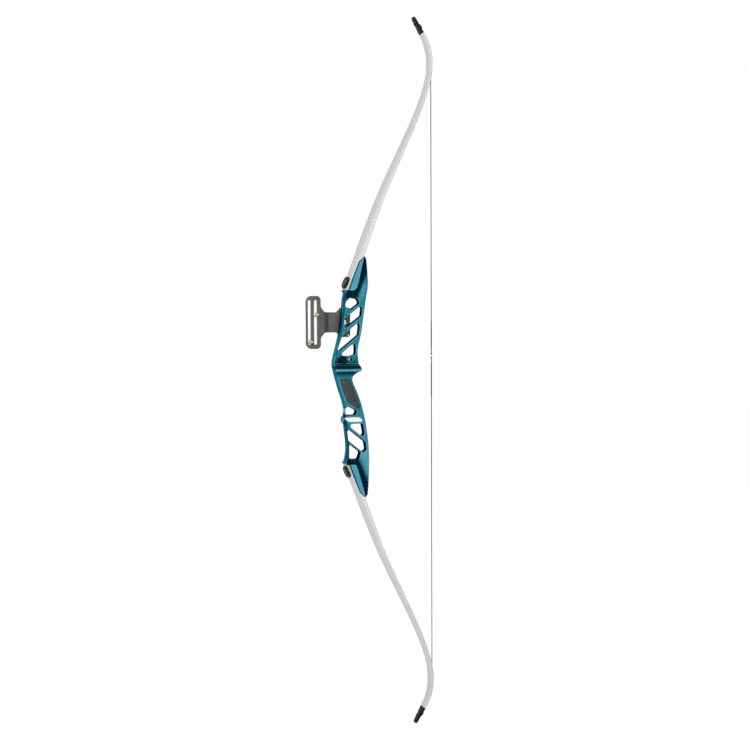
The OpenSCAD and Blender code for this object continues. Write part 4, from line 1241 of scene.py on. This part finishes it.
def knurled_nut(name, x, y, z, node, body):
    """A nut whose rim is cut into small teeth between two plain turned ends."""
    teeth = 36
    rings = []
    for d, r, depth in ((0, 3.9, 0), (0.15, 4.2, 0), (0.6, 4.5, 0), (0.75, 5.0, 0.35),
                        (4.25, 5.0, 0.35), (4.4, 4.5, 0), (4.85, 4.2, 0), (5, 3.9, 0)):
        rings.append([Vector((x, y + d, z)) * MM
                      + Vector((math.cos(t), 0, math.sin(t))) * (r - depth * (k % 2)) * MM
                      for k, t in ((k, math.pi * k / teeth) for k in range(2 * teeth))])
    nut = drawn_out(name, rings)
    bore = [(-1, 3.1), (0, 3.1), (0.6, 2.46), (NUT_T - 0.6, 2.46), (NUT_T, 3.1), (NUT_T + 1, 3.1)]
    boolean(nut, turned_tool("bore", Vector((x, y, z)) * MM, (0, 1, 0), bore, 24))
    outward(nut)
    smooth_shaded(nut, 25)
    wear(nut, brass)
    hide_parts(node)
    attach(nut, body)


NUT_GAP = 0.1
PIN_LONG = 28
for place, z in (("front", 79.0), ("rear", 137.5)):
    x = SLOT_X[place]
    knurled_nut(place + "_nut_knurled", x, HEAD_Y - NUT_T - NUT_GAP, z, place + "_pin_nut",
                place + "_nut")
    knurled_nut(place + "_back_nut_knurled", x, HEAD_Y + PLATE + NUT_GAP, z,
                place + "_pin_back_nut", place + "_carriage")
    tip_y = HEAD_Y - PIN_LONG + PLATE + NUT_T + 3
    at = Vector((x, tip_y, z)) * MM
    pin = threaded_tool(place + "_sight_pin", at, (0, 1, 0), 0, 24, 2.05, PIN_R, 0.8)
    point = turned_tool("point", at, (0, 1, 0),
                        [(-5, 0.5), (-4.7, 1.2), (-4, 1.8), (-3, 2.0), (-2.2, 1.85), (-1.6, 1.5),
                         (0.5, 1.5)], 20)
    boolean(pin, point, "UNION")
    outward(pin)
    smooth_shaded(pin, 35)
    wear(pin, brass)
    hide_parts(place + "_pin")
    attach(pin, place + "_pin")
print("sight pin:", len(pin.data.polygons), "faces")

# %% [markdown]
# ## Arrow rest
# The rest is a stick-on moulding: a thin plate with two ears, and a springy wire arm that
# holds the arrow and folds back as it passes. The plate is an outline with broken edges, the
# ears are small turned lugs, and the arm is a round wire drawn out along its line.

# %% Arrow rest
REST_X, REST_Z, REST_Y = -27, 31, 2.5
HINGE = (-28.6, 0.8, 37.5)
rest = side_solid("rest_plate", rounded([(REST_X, REST_Z, 1), (REST_X, REST_Z + 16, 1),
                                         (REST_X + 10.5, REST_Z + 16, 1),
                                         (REST_X + 10.5, REST_Z, 1)]),
                  [(REST_Y, 0), (REST_Y - 1.6, 0), (REST_Y - 2, -0.4)])
for s in (-1, 1):
    lug_z = HINGE[2] + s * 3.6
    lug = turned_tool("lug", Vector((HINGE[0], HINGE[1], lug_z)) * MM, (0, 0, 1),
                      [(-1, 1.3), (-0.8, 1.5), (0.8, 1.5), (1, 1.3)], 20)
    boolean(rest, lug, "UNION")
    web = side_solid("web", rounded([(HINGE[0], lug_z - 1, 0), (HINGE[0], lug_z + 1, 0),
                                     (HINGE[0] + 3, lug_z + 1, 0), (HINGE[0] + 3, lug_z - 1, 0)]),
                     [(REST_Y - 0.02, 0), (REST_Y - 2, 0)])
    boolean(rest, web, "UNION")
boolean(rest, turned_tool("bore", Vector(HINGE) * MM, (0, 0, 1), [(-9, 0.6), (9, 0.6)], 16))
outward(rest)
smooth_shaded(rest, 32)
wear(rest, rest_black)
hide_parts("rest_base")
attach(rest, "riser")

ARM_WAY = math.radians(232)
hinge_at = Vector(HINGE) * MM
arm = turned_tool("rest_wire", hinge_at, (math.cos(ARM_WAY), math.sin(ARM_WAY), 0),
                  [(0, 1.1), (3, 1.1), (12.4, 1.0), (13.3, 1.1), (13.9, 0.85), (14.08, 0.4)], 16)
hub = turned_tool("hub", hinge_at, (0, 0, 1),
                  [(-4.6, 0.5), (-2.5, 0.5), (-2.5, 1.3), (-2.3, 1.5), (2.3, 1.5), (2.5, 1.3),
                   (2.5, 0.5), (4.6, 0.5)], 20)
boolean(arm, hub, "UNION")
outward(arm)
smooth_shaded(arm, 35)
wear(arm, rest_black)
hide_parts("rest_arm")
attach(arm, "rest_arm")
print("rest:", len(rest.data.polygons), "faces, arm:", len(arm.data.polygons))

# %% [markdown]
# ## Tips
# A hard black tip ends each limb. It narrows to a waist where the string's loop lies in
# two nocks, and runs out to a blunt point. The tip is drawn out through rounded outlines, and
# its string nocks are cut by the loop's own path, made a little thicker.

# %% Tips and loops
LAST = np.array(BACK_LINE[-2])
TIP_WAY = np.array(BACK_LINE[-1]) - np.array(BACK_LINE[-3])
TIP_WAY /= np.linalg.norm(TIP_WAY)
TIP_BELLY = np.array([TIP_WAY[1], -TIP_WAY[0]])
UNDER, TIP_T, NOCK_A = -0.5, 5.6, 22
TIP_WIDTH = [(0, 20), (9, 18.4), (17, 16.6), (22, 15.6), (28, 15), (34, 14.2), (37.5, 13),
             (39.2, 11.4), (40, 9.4)]
TIP_THICK = [(0, 5.6), (37, 5.6), (39.2, 4.6), (40, 3.6)]
LOOP_R = 1.3
THROAT_A = 8
THROAT_B = UNDER + TIP_T + LOOP_R + 0.3
NOCK_Y = 6.9


def tip_point(a, b, y, end):
    x, z = LAST + TIP_WAY * a + TIP_BELLY * b
    return from_pocket(x, y, z, end)


def tip_ring(a, end):
    thick = lookup(a, TIP_THICK)
    low = UNDER + (0 if a < 30 else 0.35 * (TIP_T - thick))
    ring = box_ring(lookup(a, TIP_WIDTH), low, low + thick, min(1.5, thick * 0.36))
    return [tip_point(a, b, y, end) for y, b in ring]


half_loop = [(THROAT_A, THROAT_B, 0), (THROAT_A + 0.7, THROAT_B, 2.2),
             (THROAT_A + 4, THROAT_B, 5.5), (NOCK_A - 6, THROAT_B - 0.4, NOCK_Y - 1.6),
             (NOCK_A - 2.5, THROAT_B - 2.2, NOCK_Y - 0.2),
             (NOCK_A - 0.5, THROAT_B - 5, NOCK_Y + 0.1), (NOCK_A + 1, UNDER + 0.8, NOCK_Y - 0.6),
             (NOCK_A + 1.8, UNDER - 1.1, NOCK_Y - 2.8),
             (NOCK_A + 2.3, UNDER - LOOP_R - 0.3, NOCK_Y - 6),
             (NOCK_A + 2.4, UNDER - LOOP_R - 0.3, 0)]
loop_points = half_loop + [(a, b, -y) for a, b, y in half_loop[-2:0:-1]]


def loop_path(n=4):
    """A smooth closed line through the loop's points."""
    p = np.array(loop_points)
    made = []
    for i in range(len(p)):
        near = p[i - 1], p[i], p[(i + 1) % len(p)], p[(i + 2) % len(p)]
        made += [curve_point(*near, t) for t in np.arange(n) / n]
    return made


def loop_tube(name, radius, end, sides=12):
    points = [tip_point(a, b, y, end) for a, b, y in loop_path()]
    middle = tip_point(NOCK_A - 7, 3, 0, end)
    rings = []
    for i, p in enumerate(points):
        way = (points[(i + 1) % len(points)] - points[i - 1]).normalized()
        side = way.cross(p - middle).normalized()
        other = way.cross(side)
        rings.append([p + (side * math.cos(t) + other * math.sin(t)) * radius * MM
                      for t in (2 * math.pi * k / sides for k in range(sides))])
    tube = drawn_out(name, rings + rings[:1])
    edit_all(tube, lambda: bpy.ops.mesh.select_all(action="DESELECT"),
             lambda: bpy.ops.mesh.select_face_by_sides(number=4, type="GREATER"),
             lambda: bpy.ops.mesh.delete(type="FACE"))
    outward(tube)
    return tube


LEVELS = [0, 4, 8, 12, 15, 17, 17.4, 17.8, 20, 22, 25.6, 26, 26.4, 28, 31, 34, 36, 38, 39.4, 40]
for end, name in ((1, "upper"), (-1, "lower")):
    tip = drawn_out(name + "_limb_tip", [tip_ring(a, end) for a in LEVELS])
    boolean(tip, loop_tube("groove", LOOP_R + 0.3, end))
    outward(tip)
    smooth_shaded(tip, 35)
    wear(tip, tip_black)
    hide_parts(name + "_tip")
    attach(tip, name + "_limb")
    loop = loop_tube(name + "_string_loop", LOOP_R, end)
    smooth_shaded(loop, 60)
    wear(loop, serving_black)
    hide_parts(name + "_loop")
    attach(loop, name + "_limb")
print("tip:", len(tip.data.polygons), "faces, loop:", len(loop.data.polygons))

# %% [markdown]
# ## Bowstring
# The string is a bundle of waxed strands with a slight twist. It lies on the belly of the
# recurves and runs straight between them. Each half is drawn out along its line from a lobed
# outline that turns as it goes, so the strands show as long twisted ridges. The servings
# are tight windings of thinner thread over the strands: plain tubes whose winding is
# in the finish.

# %% The string's line
STRAND_R, SERVING_R = 0.95, 1.25
STRING_X = 188.438
NOCK_Z, HOLD = 45, 12
PIECE_GAP = 0.3


def world_of(point):
    """A point of the upper limb's side view, from its pocket frame, in mm."""
    return from_pocket(point[0], 0, point[1], 1) / MM


belly = []
for i, point in enumerate(limb_line):
    way = line_way(limb_line, i)
    out = np.array([way[1], -way[0]])
    at = world_of(point + out * (lookup(point[1], THICK_AT) + STRAND_R + 0.3))
    belly.append((at.x, at.z))
leave = max(range(len(belly)), key=lambda i: belly[i][0])
throat = world_of(LAST + TIP_WAY * THROAT_A + TIP_BELLY * THROAT_B)
lying = [p for p in belly[leave:] if math.dist(p, (throat.x, throat.z)) > 9]
print("the string meets the belly", round(throat.z - belly[leave][1], 1), "mm below the throat")


def string_line(foot):
    """The upper string's line in X and Z from height foot up to the loop's throat."""
    straight = [(STRING_X, z) for z in np.arange(foot, lying[0][1] - 8, 6.0)]
    curve = smooth_line([(STRING_X, lying[0][1] - 8)] + lying
                        + [(throat.x - 0.6, throat.z - 1.4)], 2)
    return straight + [tuple(p) for p in curve]


def cord(name, line, radius, end, sides=16, lobes=0.0, twist=75.0, begun=0.0, shares=None):
    """A cord along a line in X and Z, with lobes that turn once in twist mm.

    The shares narrow it at each point of the line, to round its ends."""
    rings, run = [], begun
    for i, (x, z) in enumerate(line):
        ahead, behind = line[min(i + 1, len(line) - 1)], line[max(i - 1, 0)]
        way = Vector((ahead[0] - behind[0], 0, ahead[1] - behind[1])).normalized()
        side, other = Vector((0, 1, 0)), way.cross(Vector((0, 1, 0)))
        run += math.dist(line[i], line[i - 1]) if i else 0
        ring = []
        for k in range(sides):
            t = 2 * math.pi * (k / sides + run / twist)
            r = radius * (1 - lobes * (k % 2)) * (shares[i] if shares else 1)
            at = Vector((x, 0, z)) + (side * math.cos(t) + other * math.sin(t)) * r
            ring.append(Vector((at.x, at.y, at.z * end)) * MM)
        rings.append(ring)
    return drawn_out(name, rings)


def cut_line(line, low, high):
    """The part of the line between two distances from its start."""
    runs = np.concatenate([[0], np.cumsum([math.dist(a, b) for a, b in zip(line, line[1:])])])
    inside = [i for i, d in enumerate(runs) if low < d < high]
    at = [tuple(np.array([np.interp(d, runs, [p[j] for p in line]) for j in (0, 1)]))
          for d in (low, min(high, runs[-1]))]
    return [at[0]] + [line[i] for i in inside] + [at[1]]


def line_length(line):
    return sum(math.dist(a, b) for a, b in zip(line, line[1:]))


def point_at(line, d):
    """The point at the distance d from the line's start."""
    return np.array(cut_line(line, d, d + 1)[0])


def bend_share(line, d, swing):
    """How much of the string half's swing the point at d takes to lie in a straight drawn line."""
    top, low = np.array(line[-1]), point_at(line, min(d, line_length(line) - 15))

    def lean(p):
        return math.degrees(math.atan2(p[0] - top[0], top[1] - p[1]))

    return 1 - (lean(low) - lean(line[0])) / swing


def bend_between(line, low, high, swing, end):
    """Start and end of the smooth bend that gives both ends of a stretch their own share."""
    parts = [0.5 - math.sin(math.asin(1 - 2 * min(1.0, bend_share(line, d, swing))) / 3)
             for d in (low, high)]
    p, q = point_at(line, low), point_at(line, min(high, line_length(line) - 1.1))
    whole = (p - q) / (parts[0] - parts[1])
    far = q - whole * parts[1]
    return [Vector((x, 0, end * z)) * MM for x, z in (far, far + whole)]


# %% [markdown]
# ## Stretches of the string
# When the bow is drawn, the string lifts off the limb tips and runs straight to the fingers.
# A single bend over a whole half would leave it curved. Each half is therefore made in eight
# stretches that meet end to end. The share of the swing that each end of a stretch takes is
# worked out from the angle between its place at rest and the straight drawn line.

# %% Strands and servings
BARE = 3.5
STRETCHES = [0, 35, 70, 105, 140, 180, 240, 310]
TIP_SERVED = 105
for end, name, served, swing in ((1, "upper", 77, 51.1), (-1, "lower", 90, 47.1)):
    line = string_line(end * NOCK_Z + HOLD + PIECE_GAP)
    long = line_length(line)
    from_tip = STRETCHES + [long]
    for k in range(len(STRETCHES)):
        low, high = long - from_tip[k + 1], long - from_tip[k]
        start, stop = bend_between(line, low, high, swing, end)
        part = cut_line(line, low, high)
        pieces = [(cord(f"{name}_strands_{k + 1}", part, STRAND_R, end, lobes=0.16, begun=low),
                   "_string", string_black)]
        if from_tip[k + 1] <= TIP_SERVED:
            part = cut_line(line, low, high - (0 if k else 1.5))
            pieces.append((cord(f"{name}_tip_served_{k + 1}", part, SERVING_R - 0.05, end),
                           "_end_serving", serving_black))
        if low == 0:
            part = cut_line(line, BARE, served - HOLD)
            pieces.append((cord(name + "_served", part, SERVING_R, end), "_serving", serving_black))
        for piece, node, finish in pieces:
            smooth_shaded(piece, 50)
            wear(piece, finish)
            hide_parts(name + node)
            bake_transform(piece)
    print(name, "string:", round(long, 1), "mm in", len(STRETCHES), "stretches")

# %% [markdown]
# The short middle piece of the string carries the serving that the fingers hold and a brass
# nocking point clamped round it. It is three pieces, one inside the other: the strands are a
# cord like those of the halves, and the serving and the ring are turned. The ring's ends are
# rounded where it was crimped. The strands run on into both halves, so their ends are rounded
# and reach a little way in, and no gap opens where the drawn string bends.

# %% Middle of the string
middle_at = Vector((STRING_X, 0, NOCK_Z)) * MM
END_ROUND = [(0.95, 0.15), (0.85, 0.45), (0.55, 0.81), (0, 1)]
middle_steps = ([(-HOLD - d, share) for d, share in END_ROUND] + [(0, 1)]
                + [(HOLD + d, share) for d, share in reversed(END_ROUND)])
middle = cord("middle_strands", [(STRING_X, NOCK_Z + h) for h, _ in middle_steps], STRAND_R, 1,
              lobes=0.16, shares=[share for _, share in middle_steps])
smooth_shaded(middle, 50)
wear(middle, string_black)
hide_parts("centre_strands")
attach(middle, "nock")
turned("middle_served", middle_at, (0, 0, 1),
       [(BARE - HOLD, 1.0), (BARE - HOLD, 1.2), (BARE - HOLD + 0.2, SERVING_R),
        (HOLD - BARE - 0.2, SERVING_R), (HOLD - BARE, 1.2), (HOLD - BARE, 1.0)],
       serving_black, "centre_serving", "nock", n=20, angle=50)
ring = turned("nocking_ring", middle_at, (0, 0, 1),
              [(-2, 1.4), (-1.95, 1.8), (-1.6, 2.08), (1.6, 2.08), (1.95, 1.8), (2, 1.4)],
              brass, "nocking_point", "nock", n=28, bore=1.31, angle=50)
print("nocking ring:", len(ring.data.polygons), "faces")
